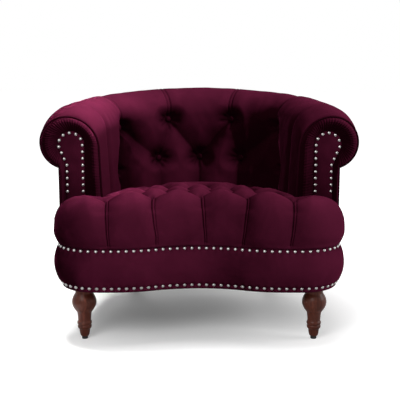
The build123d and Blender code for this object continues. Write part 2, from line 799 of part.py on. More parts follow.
with BuildPart() as seat_middle:
    with BuildSketch(Plane.XY.offset(seat_bottom)):
        inner_region(-foot_lean - fit, ear_y - 30)
    with BuildSketch(Plane.XY.offset(seat_height + 30)):
        inner_region(inner_n(seat_height + 30, center_y + barrel_radius) - 2, ear_y - 30)
    loft(ruled=True)
    extrude(crown.sketch, amount=overall_depth, both=True, mode=Mode.INTERSECT)

with BuildPart() as seat_cushion:
    with BuildSketch(Plane.XY.offset(seat_bottom)):
        base_region(seat_overhang, ear_y)
    extrude(amount=seat_height + 60 - seat_bottom)
    extrude(crown.sketch, amount=overall_depth, both=True, mode=Mode.INTERSECT)
    crown_face = seat_cushion.faces().sort_by(Axis.Z)[-1]
    fillet(crown_face.edges().filter_by(lambda edge: edge.center().Y < ear_y - 1), radius=seat_round)
    hem_face = seat_cushion.faces().sort_by(Axis.Z)[0]
    fillet(hem_face.edges().filter_by(lambda edge: edge.center().Y < ear_y - 1), radius=seat_tuck)
    add(seat_middle.part)
    for row, x, y in seat_buttons_at:
        seat_tuft(x, y)
    for row, x, y in seat_buttons_at:
        if row == 0:
            seat_pleat(x, y)
        for next_row, next_x, next_y in seat_buttons_at:
            if next_row == row + 1 and abs(next_x - x) < 0.6 * column_pitch:
                seat_fold((x, y), (next_x, next_y))
save(seat_cushion.part, "seat_cushion")

# Buttons, drawn down to the floor of their tufts
with BuildPart() as seat_buttons:
    for row, x, y in seat_buttons_at:
        with BuildSketch(Plane.XY.offset(seat_z(x, y) - seat_tuft_depth)):
            with Locations((x, y)):
                RegularPolygon(button_radius, 10)
    extrude(amount=button_height, taper=38)
save(seat_buttons.part, "seat_buttons")

with BuildPart() as back_buttons:
    for angle, level in wall_buttons:
        station = barrel_station(angle)
        floor_n = inner_n(level, station.origin.Y) + back_tuft_depth
        place = station.from_local_coords((floor_n, level))
        with BuildSketch(Plane(origin=place, x_dir=(0, 0, 1), z_dir=station.x_dir * -1)):
            RegularPolygon(button_radius, 10)
    extrude(amount=button_height, taper=38)
save(back_buttons.part, "back_buttons")

# Nailheads along the front band and round the centre panels of the facings
with BuildPart() as nailhead:
    with BuildSketch():
        RegularPolygon(nail_radius, nail_sides)
    extrude(amount=nail_height)
    chamfer(nailhead.faces().sort_by(Axis.Z)[-1].edges(), length=nail_slope)


def band_nail_planes(z):
    with BuildLine() as outline:
        front_line(band_t(z), face_y)
        mirror(about=Plane.YZ)
    row_line = outline.wires()[0]
    count = round(row_line.length / nail_pitch)
    tilt = math.asin((z - band_bulge_z) / band_radius)
    places = []
    for i in range(count):
        point = row_line.position_at((i + 0.5) / count)
        along = row_line.tangent_at((i + 0.5) / count)
        side = Vector(along.Y, -along.X, 0)
        if side.dot(point - Vector(0, center_y, 0)) < 0:
            side = side * -1
        facing_out = side * math.cos(tilt) + Vector(0, 0, math.sin(tilt))
        place = Vector(point.X, point.Y, z) + facing_out * fit
        places.append(Plane(origin=place, x_dir=along, z_dir=facing_out))
    return places


for row_name, row_z in (("upper_nailheads", seat_bottom - nail_inset), ("lower_nailheads", lower_nail_z)):
    with BuildPart() as nail_row:
        with Locations(*band_nail_planes(row_z)):
            add(nailhead.part)
    save(nail_row.part, row_name)

with BuildPart() as facing_nails:
    with BuildLine() as nail_line:
        keyhole_line(nail_radius + 0.5, facing_nail_foot)
    nail_wire = nail_line.wires()[0]
    nail_count = round(nail_wire.length / face_nail_pitch)
    nail_plane = face_plane.offset(face_thickness - panel_recess + panel_plate)
    nail_places = [nail_wire.position_at(i / nail_count) for i in range(nail_count + 1)]
    with Locations(*[Plane(nail_plane.from_local_coords(place), z_dir=nail_plane.z_dir) for place in nail_places]):
        add(nailhead.part)
save_pair(facing_nails.part, "arm_nailheads")

# Legs and glides
with BuildPart() as front_leg:
    with BuildSketch(Plane(origin=(front_leg_x, front_leg_y, 0), x_dir=(1, 0, 0), z_dir=(0, -1, 0))):
        with BuildLine():
            ring_foot = stem_z - ring_height
            bead_foot = ring_foot - bead_height
            collar_turn = math.acos(collar_radius / ball_radius)
            ball_turns = (collar_turn, collar_turn / 2, 0, -belly_turn / 2, -belly_turn)
            ball = [(ball_radius * math.cos(turn), ball_z + ball_radius * math.sin(turn)) for turn in ball_turns]
            Polyline((0, glide_height), (0, leg_height), (collar_radius, leg_height), *ball)
            Polyline(ball[-1], (neck_radius, neck_z), (stem_radius, stem_z))
            ring_mid = (ring_radius, stem_z - ring_height / 2)
            bead_mid = (bead_radius, ring_foot - bead_height / 2)
            Polyline((stem_radius, stem_z), ring_mid, (stem_radius, ring_foot), bead_mid)
            Polyline(bead_mid, (ankle_radius, bead_foot), (toe_radius, toe_z), (glide_radius, glide_height))
            Line((glide_radius, glide_height), (0, glide_height))
        make_face()
    revolve(axis=Axis((front_leg_x, front_leg_y, 0), (0, 0, 1)))
    add(leg_bolts.part, mode=Mode.SUBTRACT)
save_pair(front_leg.part, "front_leg")

rear_foot = (rear_leg_x + rear_leg_rake / 4, rear_leg_y + rear_leg_rake)
with BuildPart() as rear_leg:
    with BuildSketch(Plane.XY.offset(leg_height)):
        with Locations((rear_leg_x, rear_leg_y)):
            Rectangle(rear_leg_top, rear_leg_top)
    with BuildSketch(Plane.XY.offset(glide_height)):
        with Locations(rear_foot):
            Rectangle(rear_leg_foot, rear_leg_foot)
    loft(ruled=True)
    add(leg_bolts.part, mode=Mode.SUBTRACT)
save_pair(rear_leg.part, "rear_leg")

with BuildPart() as foot_glides:
    with BuildSketch():
        with Locations((front_leg_x, front_leg_y), rear_foot):
            RegularPolygon(glide_radius, glide_sides)
        mirror(about=Plane.YZ)
    extrude(amount=glide_height)
save(foot_glides.part, "foot_glides")
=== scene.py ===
import json
import math

import bmesh
import bpy
import numpy as np
from mathutils import Matrix, Vector


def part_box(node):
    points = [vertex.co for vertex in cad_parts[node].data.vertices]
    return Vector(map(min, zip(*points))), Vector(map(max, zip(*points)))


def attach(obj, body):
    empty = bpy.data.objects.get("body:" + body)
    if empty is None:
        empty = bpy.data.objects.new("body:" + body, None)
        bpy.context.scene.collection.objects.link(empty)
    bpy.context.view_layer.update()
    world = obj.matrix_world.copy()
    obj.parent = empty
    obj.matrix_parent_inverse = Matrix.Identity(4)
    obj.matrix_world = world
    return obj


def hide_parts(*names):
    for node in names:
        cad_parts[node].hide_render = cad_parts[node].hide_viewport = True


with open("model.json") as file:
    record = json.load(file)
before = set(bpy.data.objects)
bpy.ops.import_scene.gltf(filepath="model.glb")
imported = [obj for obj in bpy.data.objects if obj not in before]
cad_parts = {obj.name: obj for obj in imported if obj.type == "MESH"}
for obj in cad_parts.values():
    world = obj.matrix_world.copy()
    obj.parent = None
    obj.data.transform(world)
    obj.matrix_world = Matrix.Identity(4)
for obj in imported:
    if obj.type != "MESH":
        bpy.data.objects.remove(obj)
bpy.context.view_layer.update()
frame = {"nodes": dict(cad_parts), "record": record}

# Tufted accent chair: plum velvet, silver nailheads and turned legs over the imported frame.
# Shapes are worked out in millimetres in the chair's own frame and written in metres.
MM = 0.001

# Plan of the chair
half_width = 450.0
front_dip = 51.0
bulge_x = 275.0
corner_radius = 124.0
barrel_radius = 274.0
arm_toe = math.radians(9.8)
pleat_angle = 24.0
nose_length = 110.0
wall_out = 134.0

# Levels worked out from the frame
leg_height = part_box("left_front_leg")[1].z / MM
seat_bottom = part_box("seat_cushion")[0].z / MM
seat_height = seat_bottom + 176.0
back_rise, climb_bend = 22.0, 3.0
arm_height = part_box("inside_back")[1].z / MM - back_rise

# Section of the padded wall
foot_lean = 10.0
pad_foot_z = seat_bottom + 2.0
pad_back_n = 60.0
top_rail_z = arm_height - 166.0
roll_n, roll_radius = 109.0, 100.0
face_n, face_top = 115.0, arm_height - 39.0
face_inner_radius, face_outer_radius = 101.0, 80.0
face_foot = 1.0

# Facing
face_thickness = 16.0
panel_n, panel_z, panel_radius = 101.0, face_top - 86.0, 44.5
panel_stem, panel_neck, panel_taper = 120.0, math.radians(38.0), 2.4
welt_radius, edge_tuck = 3.5, 1.6

# Seat and base
seat_overhang = 22.0
seat_round = 80.0
seat_tuck = 13.0
seat_belly = 48.0
seat_voxel = 4.2
seat_slope = math.radians(6.5)
seat_crown_radius = 3600.0
band_depth = 22.0
band_bulge, band_bulge_z, band_radius = 22.5, leg_height + 79.0, 120.0
lower_nail_z = leg_height + 14.0
upper_nail_z = seat_bottom - 7.0

# Tufting
button_radius = 11.0
deepest_tuft = 40.0
column_pitch, row_pitch, first_row, tuft_rows = 150.0, 108.0, 72.0, 5
upper_button_z, lower_button_z = arm_height - 90.0, seat_height + 28.0
outer_button_drop = 14.0
upper_inner_angle, lower_inner_angle, lower_outer_angle = 68.0, 60.0, 12.0
wall_button_sink, seat_button_sink = 31.0, 33.0
nail_radius = 5.5
nail_pitch, face_nail_pitch = 24.0, 21.5
band_nail_sink, face_nail_out, face_nail_inset = 3.0, 11.0, 0.5
face_nail_foot = seat_height - 17.0

# Heads of nails and covered buttons: radius, height, sides and rings
nail_head = (nail_radius, 4.0, 12, 5)
button_head = (button_radius, 5.0, 24, 8)

# Buttons: depth and reach. Folds: depth at the start, the middle and the end, then reach
wall_tuft, seat_tuft = (38.0, 60.0), (37.0, 60.0)
diamond_fold = (25.0, 21.0, 25.0, 72.0)
roll_fold, roll_fold_length = (30.0, 9.0, 0.0, 40.0), 170.0
skirt_fold = (22.0, 17.0, 14.0, 62.0)
seat_fold = (24.0, 24.0, 24.0, 62.0)
tuck_depth, tuck_width, tuck_gap = 2.6, 2.3, 6.0
overlap_on_back, overlap_on_arm = 84.0, 15.0
pleat_spread = 11.0

# How far the seat's top rounds down, and over what reach: at the wall and in front of the facings
edge_drop, edge_reach = 18.0, 40.0
ear_drop, ear_reach = 26.0, 46.0

# Painted shade in hollows: the depth that counts as 1, the depth past which it stays, and a curve
wall_painted_shade = (28.0, 26.0, 1.2)
seat_painted_shade = (38.0, 40.0, 1.3)

# Painted shade in tucks, along fold lines, in clefts and in sewn pleats, in millimetres of depth
tuck_shade, fold_shade, cleft_shade, pleat_shade = 12.0, 5.0, 48.0, 18.0

# Outside panels painted lighter (below 0), facing panels and buttons painted darker, and the random
# clouding of their tone, as shares
panel_shade, facing_shade, cloud_shade, button_shade = -0.75, 0.3, 0.15, 1.1

# Painted light by facing: faces turned up and to the chair's right are painted paler and the others
# darker, with crushed patches of tone and painted shade in hollows
painted_light_direction = (0.62, -0.125, 0.27)
painted_light_middle, nap_patches, painted_shading_strength = 0.40, 0.12, 0.5

# Places worked out from the frame
front_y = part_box("seat_cushion")[0].y / MM + seat_overhang
face_y = front_y + 150.0
center_y = front_y + 353.0
corner_x = half_width - corner_radius
facing_bottom = seat_bottom + 2.0
ear_y = face_y - face_thickness - 3.0
arc_half = barrel_radius * (math.pi / 2 - arm_toe)
tangent_x = barrel_radius * math.cos(arm_toe)
tangent_y = center_y + barrel_radius * math.sin(arm_toe)
face_run = (tangent_y - face_y) / math.cos(arm_toe)
face_x = tangent_x + face_run * math.sin(arm_toe)
q_pleat = barrel_radius * math.radians(90 - pleat_angle)
q_seam = arc_half + face_run - nose_length
q_face = arc_half + face_run
dip_radius = (bulge_x**2 + front_dip**2) / (4 * front_dip)


# Making meshes
def cloth_grid(columns, rows):
    """A flat grid of quads, with each vertex's place across and along it from 0 to 1."""
    bm = bmesh.new()
    bmesh.ops.create_grid(bm, x_segments=columns, y_segments=rows, size=0.5)
    flat = np.array([vert.co[:2] for vert in bm.verts]) + 0.5
    return bm, flat[:, 0], flat[:, 1]


def drape(bm, points):
    """Moves the vertices of a grid to points given in millimetres."""
    for vert, point in zip(bm.verts, points * MM):
        vert.co = point


def mark_painted_shading_and_clouding(bm, depth, deepest):
    """Keeps the painted shade at each vertex, and the random clouding of tone.

    0 is a crest, about 1 a button, more a cleft, and less than 0 is painted lighter.
    """
    layer = bm.verts.layers.float.new("painted_shading_and_clouding")
    for vert, share in zip(bm.verts, np.clip(depth / deepest, -1, 1.7)):
        vert[layer] = share


def close_ends(bm):
    """Joins the first row of a wrapped grid to its last, and fills its two open ends."""
    bmesh.ops.remove_doubles(bm, verts=bm.verts, dist=0.02 * MM)
    open_edges = [edge for edge in bm.edges if edge.is_boundary]
    for face in bmesh.ops.holes_fill(bm, edges=open_edges, sides=0)["faces"]:
        for edge in face.edges:
            edge.smooth = False


def shaded(depth, full, most, curve):
    """Depth turned into painted shade: less than the depth itself where the cover is only a little
    drawn in.
    """
    return full * (np.clip(depth, 0, most) / full) ** curve


def two_stretches(v, share):
    """How far a row lies through the first stretch of a cover and through the second, 0 to 1."""
    return np.clip(v / share, 0, 1), np.clip((v - share) / (1 - share), 0, 1)


def nearest_point(u, count):
    """Number of the outline point that each column of a grid stands on."""
    return np.clip(np.rint(u * (count - 1)).astype(int), 0, count - 1)


def finished(bm, name, material, nodes, smooth=True):
    """Turns a bmesh into a piece of the chair that stands for CAD nodes."""
    bmesh.ops.recalc_face_normals(bm, faces=bm.faces)
    mesh = bpy.data.meshes.new(name)
    bm.to_mesh(mesh)
    bm.free()
    for polygon in mesh.polygons:
        polygon.use_smooth = smooth
    piece = bpy.data.objects.new(name, mesh)
    bpy.context.scene.collection.objects.link(piece)
    piece.data.materials.append(material)
    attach(piece, "root")
    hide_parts(*nodes)
    return piece


def lattice_noise(a, b, seed):
    """Smooth seeded noise from -1 to 1 over two coordinates."""
    cell_a, cell_b = np.floor(a), np.floor(b)
    near_a, near_b = a - cell_a, b - cell_b
    ease_a, ease_b = near_a * near_a * (3 - 2 * near_a), near_b * near_b * (3 - 2 * near_b)

    def corner(step_a, step_b):
        mixed = np.sin((cell_a + step_a) * 127.1 + (cell_b + step_b) * 311.7 + seed * 74.7) * 43758.5453
        return 2 * (mixed - np.floor(mixed)) - 1

    low = corner(0, 0) * (1 - ease_a) + corner(1, 0) * ease_a
    high = corner(0, 1) * (1 - ease_a) + corner(1, 1) * ease_a
    return low * (1 - ease_b) + high * ease_b


# Tufting of the cover
def pillow(distance, width, soft=2.5):
    """1 in a crease, falling in the round of a stuffed pillow to 0 at the given width."""
    near = np.clip(np.sqrt(distance**2 + soft**2) / width, 0, 1)
    return (1 - near) ** 1.6


def from_fold(a, b, stretch, fold):
    """Share of the way along a fold, and the distance from it."""
    a0, b0, a1, b1 = fold[:4]
    span_a, span_b = (a1 - a0) * stretch, b1 - b0
    from_a, from_b = (a - a0) * stretch, b - b0
    along = np.clip((from_a * span_a + from_b * span_b) / (span_a**2 + span_b**2), 0, 1)
    return along, np.hypot(from_a - along * span_a, from_b - along * span_b)


def pulled_in(a, b, stretch, buttons, folds):
    """Depth of the cover below its pillows: deep at the buttons, less along the folds between them.

    Buttons are (a, b, depth, reach). Folds are (start a, start b, end a, end b, start depth,
    middle depth, end depth, reach). The stretch is how much longer the surface is along a. Depths
    that meet are blended, so that the pillows stay round between their folds.
    """
    blended = np.zeros_like(a)
    for at_a, at_b, deep, reach in buttons:
        away = np.hypot((a - at_a) * stretch, b - at_b)
        blended += (deep * pillow(np.maximum(away - button_radius, 0), reach)) ** 3
    for fold in folds:
        along, away = from_fold(a, b, stretch, fold)
        first, middle, last, reach = fold[4:]
        bow = (2 * along - 1) ** 2
        ends = np.where(along < 0.5, first, last)
        blended += ((middle + (ends - middle) * bow) * pillow(away, reach)) ** 3
    depth = np.cbrt(blended)
    return depth / (1 + (depth / deepest_tuft) ** 6) ** (1 / 6)


def puckers(a, b, stretch, buttons, height):
    """Short gathers that run out from each button."""
    lift = np.zeros_like(a)
    for index, (at_a, at_b, *_) in enumerate(buttons):
        across, up = (a - at_a) * stretch, b - at_b
        away = np.hypot(across, up)
        turn = np.arctan2(up, across)
        rays = np.sin(9 * turn + 1.7 * index) + 0.6 * np.sin(5 * turn + 2.9 * index)
        lift += height * rays * np.exp(-(((away - 26) / 13) ** 2))
    return lift


# Padded wall of arms and back
def wall_path(q):
    """Point and outward direction of the inside line, q millimetres from the middle of the back."""
    side = np.where(q < 0, -1.0, 1.0)
    run = np.abs(q)
    angle = np.pi / 2 - np.minimum(run, arc_half) / barrel_radius
    ahead = np.maximum(run - arc_half, 0)
    x = barrel_radius * np.cos(angle) + ahead * math.sin(arm_toe)
    y = center_y + barrel_radius * np.sin(angle) - ahead * math.cos(arm_toe)
    return side * x, y, side * np.cos(angle), np.sin(angle)


def off_wall(q, n, z, squared):
    """Chair places n outside the inside line; an arm's end is squared, 0 to 1, to face ahead."""
    x, y, out_x, out_y = wall_path(q)
    ahead = squared * n * math.tan(arm_toe)
    x = x + n * out_x + ahead * np.sign(out_x) * math.sin(arm_toe)
    y = y + n * out_y - ahead * math.cos(arm_toe)
    return np.stack([x, y, z], axis=1)


def roll_top(q):
    """Height of the rolled top, which climbs from the arm fronts to the back."""
    share = (wall_path(q)[1] - face_y) / (center_y + barrel_radius - face_y)
    return arm_height + back_rise * np.maximum(share, 0) ** climb_bend


def inner_lean(top_n, top_z, radius, foot_n, foot_z):
    """Angle of the inside face, from its foot to where it touches the roll."""
    run, rise = top_n - foot_n, top_z - radius - foot_z
    return np.arctan2(rise, run) + np.arcsin(radius / np.hypot(run, rise))


# Rows of the cover: up the inside to the first share, over the roll to the second, then behind
inner_share, roll_share = 0.42, 0.90


def wall_points(q, v):
    """Places on the cover, up the inside, over the roll and down behind.

    Also gives how deep the cover is drawn in, its girth from the foot and its stretch along q.
    """
    swell = np.clip((q_face - np.abs(q)) / nose_length, 0, 1)
    turned = np.sqrt(1 - (1 - swell) ** 2)
    top_n = face_n + turned * (roll_n - face_n)
    top_z = face_top + turned * (roll_top(q) - face_top)
    r_in = face_inner_radius + turned * (roll_radius - face_inner_radius)
    r_out = face_outer_radius + turned * (roll_radius - face_outer_radius)
    foot_n = face_foot + turned * (-foot_lean - face_foot)
    out_n = wall_out / math.cos(arm_toe) + turned * (wall_out - wall_out / math.cos(arm_toe))
    lean = inner_lean(top_n, top_z, r_in, foot_n, pad_foot_z)
    drop = np.arccos((out_n - top_n) / r_out)

    up = np.clip(v / inner_share, 0, 1)
    over = np.clip((v - inner_share) / (roll_share - inner_share), 0, 1)
    behind = np.clip((v - roll_share) / (1 - roll_share), 0, 1)
    turn = np.pi / 2 + lean - over * (np.pi / 2 + lean + drop)
    radius = np.where(turn > np.pi / 2, r_in, r_out)
    roll_z = top_z - radius
    touch_n, touch_z = top_n - r_in * np.sin(lean), top_z - r_in + r_in * np.cos(lean)
    length = np.hypot(touch_n - foot_n, touch_z - pad_foot_z)

    n = np.where(over > 0, top_n + radius * np.cos(turn), foot_n + up * (touch_n - foot_n))
    z = np.where(over > 0, roll_z + radius * np.sin(turn), pad_foot_z + up * (touch_z - pad_foot_z))
    out_of_pad_n = np.where(over > 0, np.cos(turn), -np.sin(lean))
    out_of_pad_z = np.where(over > 0, np.sin(turn), np.cos(lean))
    girth = np.where(over > 0, length + (np.pi / 2 + lean - turn) * radius, up * length)
    stretch = np.where(np.abs(q) < arc_half, (barrel_radius + n) / barrel_radius, 1.0)
    depth = np.where(behind > 0, 0, wall_depth(q, girth, stretch) * np.clip(girth / 12, 0, 1))
    n, z = n - depth * out_of_pad_n, z - depth * out_of_pad_z

    under_z = top_z - r_out - r_out * np.sin(drop)
    for start, end, goal_n, goal_z in (
        (0, 0.15, out_n - 12, under_z + 24),
        (0.15, 0.45, pad_back_n, top_rail_z),
        (0.45, 0.9, pad_back_n, pad_foot_z),
        (0.9, 1.0, foot_n, pad_foot_z),
    ):
        part = np.clip((behind - start) / (end - start), 0, 1)
        n = np.where(part > 0, n + part * (goal_n - n), n)
        z = np.where(part > 0, z + part * (goal_z - z), z)

    squared = np.where(np.abs(q) > arc_half, 1 - swell, 0)
    n = n * (1 - squared * (1 - math.cos(arm_toe)))
    return off_wall(q, n, z, squared), depth, girth, stretch


wall_lean = float(inner_lean(roll_n, arm_height + back_rise / 2, roll_radius, -foot_lean, pad_foot_z))


def wall_place(angle, z):
    """Where a button of the wall lies on the unrolled cover."""
    return barrel_radius * math.radians(90 - angle), (z - pad_foot_z) / math.sin(wall_lean)


upper_inner = wall_place(upper_inner_angle, upper_button_z)
upper_outer = wall_place(pleat_angle, upper_button_z - outer_button_drop)
lower_middle = wall_place(90, lower_button_z)
lower_inner = wall_place(lower_inner_angle, lower_button_z)
lower_outer = wall_place(lower_outer_angle, lower_button_z - outer_button_drop)
wall_buttons, wall_folds = [], []
for side in (1, -1):
    for at_q, at_w in (upper_inner, upper_outer, lower_inner, lower_outer):
        wall_buttons.append((side * at_q, at_w, *wall_tuft))
    for start, end in (
        (upper_inner, lower_middle),
        (upper_inner, lower_inner),
        (upper_outer, lower_inner),
        (upper_outer, lower_outer),
    ):
        wall_folds.append((side * start[0], start[1], side * end[0], end[1], *diamond_fold))
    for at_q, at_w in (upper_inner, upper_outer):
        wall_folds.append((side * at_q, at_w, side * at_q, at_w + roll_fold_length, *roll_fold))
    for at_q, at_w in (lower_inner, lower_outer):
        wall_folds.append((side * at_q, at_w, side * at_q, 0.0, *skirt_fold))
wall_buttons.append((*lower_middle, *wall_tuft))
wall_folds.append((*lower_middle, lower_middle[0], 0.0, *skirt_fold))


def behind_arm(q, girth, stretch):
    """Distance into the back from the line between the outer buttons, below 0 on the arm."""
    line = np.interp(girth, [lower_outer[1], upper_outer[1]], [lower_outer[0], upper_outer[0]])
    return (line - np.abs(q)) * stretch


def arm_overlap(q, girth, stretch):
    """Valley where the arm's padding stands before the back's: steep on the arm, long behind it."""
    into_back = behind_arm(q, girth, stretch)
    on_back, on_arm = pillow(into_back, overlap_on_back), pillow(into_back, overlap_on_arm)
    share = np.where(into_back > 0, on_back, on_arm)
    return np.interp(girth, [0, 40, 300, 440], [22, 32, 32, 8]) * share


def roll_tucks(q, girth, stretch):
    """Pair of narrow tucks that run from each upper button over the roll."""
    tucks = np.zeros_like(q)
    for at_q, at_w in (upper_inner, upper_outer):
        begun = np.clip((girth - at_w - 16) / 30, 0, 1)
        for gap in (-tuck_gap, tuck_gap):
            aside = (np.abs(q) - at_q) * stretch - gap
            tucks += begun * np.exp(-((aside / tuck_width) ** 2))
    return tucks


def wall_shade(q, girth, stretch):
    """Painted shade on the wall besides that of its depth: in tucks, along the bottoms of folds, in the
    cleft behind each arm.
    """
    shade = tuck_shade * roll_tucks(q, girth, stretch)
    for fold in wall_folds:
        shade += fold_shade * np.exp(-((from_fold(q, girth, stretch, fold)[1] / 4) ** 2))
    into_back = behind_arm(q, girth, stretch)
    cleft = np.where(into_back > -3, np.clip(1.35 - into_back / 110, 0, 1), 0)
    return shade + np.interp(girth, [0, 300, 420], [cleft_shade, cleft_shade, 0]) * cleft


def wall_depth(q, girth, stretch):
    """How far buttons, folds, tucks and seams draw the wall's cover in."""
    depth = pulled_in(q, girth, stretch, wall_buttons, wall_folds)
    depth += tuck_depth * roll_tucks(q, girth, stretch)
    depth = np.maximum(depth, arm_overlap(q, girth, stretch))
    for edge in (-q_seam, q_seam):
        depth = np.maximum(depth, 9 * pillow(np.abs(q - edge) * stretch, 30))
    depth += 1.4 * lattice_noise(q / 55, girth / 55, 3) + 0.7 * lattice_noise(q / 21, girth / 27, 5)
    return depth - puckers(q, girth, stretch, wall_buttons, 1.3)


def wall_piece(name, node, q_start, q_end, columns, material):
    """Padded stretch of the wall between two places along it."""
    bm, u, v = cloth_grid(columns, 260)
    q = q_start + u * (q_end - q_start)
    points, depth, girth, stretch = wall_points(q, v)
    drape(bm, points)
    # Painted shade: darker where the cover is drawn in, in tucks, along folds and in the cleft behind
    # each arm
    mark_painted_shading_and_clouding(bm, shaded(depth, *wall_painted_shade) + wall_shade(q, girth, stretch), wall_painted_shade[0])
    close_ends(bm)
    return finished(bm, name, material, [node])


# Outline of the base front, from one ear round to the other
def front_run(t, end_y):
    """Lengths of the arcs and lines of half the front outline, drawn t outside the nail line."""
    sweep = math.asin(bulge_x / (2 * dip_radius))
    return [
        (dip_radius - t) * sweep,
        (dip_radius + t) * sweep,
        corner_x - bulge_x,
        (corner_radius + t) * math.pi / 2,
        end_y - front_y - corner_radius,
    ]


def front_points(along, t, end_y):
    """Point and outward direction on the front outline; along runs -1 to 1, ear to ear."""
    base = front_run(0, end_y)
    ends = np.cumsum(base)
    run = np.abs(along) * ends[-1]
    sweep = math.asin(bulge_x / (2 * dip_radius))
    dip = np.clip(run / ends[0], 0, 1) * sweep
    rise = np.clip((run - ends[0]) / base[1], 0, 1) * sweep
    flat = np.clip(run - ends[1], 0, base[2])
    turn = np.clip((run - ends[2]) / base[3], 0, 1) * math.pi / 2
    side = np.clip(run - ends[3], 0, base[4])
    out_x = -np.sin(dip)
    out_y = -np.cos(dip)
    x = (dip_radius - t) * np.sin(dip)
    y = front_y + front_dip - dip_radius + (dip_radius - t) * np.cos(dip)
    lean = sweep - rise
    past = run > ends[0]
    x = np.where(past, bulge_x - (dip_radius + t) * np.sin(lean), x)
    y = np.where(past, front_y + dip_radius - (dip_radius + t) * np.cos(lean), y)
    out_x, out_y = np.where(past, -np.sin(lean), out_x), np.where(past, -np.cos(lean), out_y)
    past = run > ends[1]
    x, y = np.where(past, bulge_x + flat, x), np.where(past, front_y - t, y)
    out_x, out_y = np.where(past, 0, out_x), np.where(past, -1, out_y)
    past = run > ends[2]
    x = np.where(past, corner_x + (corner_radius + t) * np.sin(turn), x)
    y = np.where(past, front_y + corner_radius - (corner_radius + t) * np.cos(turn) + side, y)
    out_x, out_y = np.where(past, np.sin(turn), out_x), np.where(past, -np.cos(turn), out_y)
    mirror_side = np.where(along < 0, -1.0, 1.0)
    return x * mirror_side, y, out_x * mirror_side, out_y


def front_edge_y(x):
    """Where the nail line of the front runs at x."""
    ahead = np.maximum(bulge_x - np.abs(x), 0)
    dipped = front_y + front_dip - dip_radius + np.sqrt(np.maximum(dip_radius**2 - x**2, 0))
    swelled = front_y + dip_radius - np.sqrt(np.maximum(dip_radius**2 - ahead**2, 0))
    return np.where(np.abs(x) < bulge_x / 2, dipped, swelled)


def front_length(t, end_y):
    """Length of the front outline from ear to ear, drawn t outside the nail line."""
    return 2 * sum(front_run(t, end_y))


def chain(*parts):
    """Joins runs of points into one line."""
    return np.concatenate(parts)


def arc(mid, radius, start, end, count=40):
    """Points on an arc from one angle to another."""
    turn = np.linspace(start, end, count)
    return np.stack([mid[0] + radius * np.cos(turn), mid[1] + radius * np.sin(turn)], axis=1)


def joined(runs):
    """One line through the runs of an outline, with the points where they meet held once."""
    return chain(runs[0], *[run[1:] for run in runs[1:]])


def run_along(line):
    """Length of the line up to each of its points."""
    return np.concatenate([[0], np.cumsum(np.hypot(*np.diff(line, axis=0).T))])


def spaced(line, count):
    """The same line with evenly spaced points."""
    run = run_along(line)
    at = np.linspace(0, run[-1], count)
    return np.stack([np.interp(at, run, line[:, 0]), np.interp(at, run, line[:, 1])], axis=1)


# Outlines of the arm facing, in the plane of the arm front: n outwards, z up
def scroll_outline(inset, bottom):
    """Inside edge, over the scroll and down the outside: four runs of points."""
    foot_n = face_foot + inset
    r_in, r_out = face_inner_radius - inset, face_outer_radius - inset
    out_n = wall_out / math.cos(arm_toe) - inset
    lean = float(inner_lean(face_n, face_top - inset, r_in, foot_n, bottom))
    drop = math.acos((out_n - face_n) / r_out)
    over = arc((face_n, face_top - face_inner_radius), r_in, math.pi / 2 + lean, math.pi / 2)
    down = arc((face_n, face_top - face_outer_radius), r_out, math.pi / 2, -drop)
    return [
        np.array([[foot_n, bottom], over[0]]),
        over,
        down,
        np.array([down[-1], [out_n, bottom]]),
    ]


def keyhole_outline(inset, bottom):
    """The centre panel's edge, in four runs that match the scroll's."""
    radius = panel_radius - inset
    outer_edge = panel_stem - inset
    over = arc((panel_n, panel_z), radius, math.pi, math.pi / 2)
    down = arc((panel_n, panel_z), radius, math.pi / 2, -panel_neck)
    neck = down[-1]
    stem_top = [outer_edge, neck[1] - panel_taper * (neck[0] - outer_edge)]
    return [
        np.array([[panel_n - radius, bottom], over[0]]),
        over,
        down,
        np.array([neck, stem_top, [outer_edge, bottom]]),
    ]


def matched(runs, counts):
    """Points along an outline, the same number on each of its runs."""
    return chain(*[spaced(run, count + 1)[:-1] for run, count in zip(runs, counts)], runs[-1][-1:])


def facing_places(n, out, z, side):
    """Chair places for points of the facing: out is how far they stand before the arm front."""
    return np.stack([side * (face_x + n), face_y - out, z], axis=1)


facing_counts = (90, 60, 100, 70)


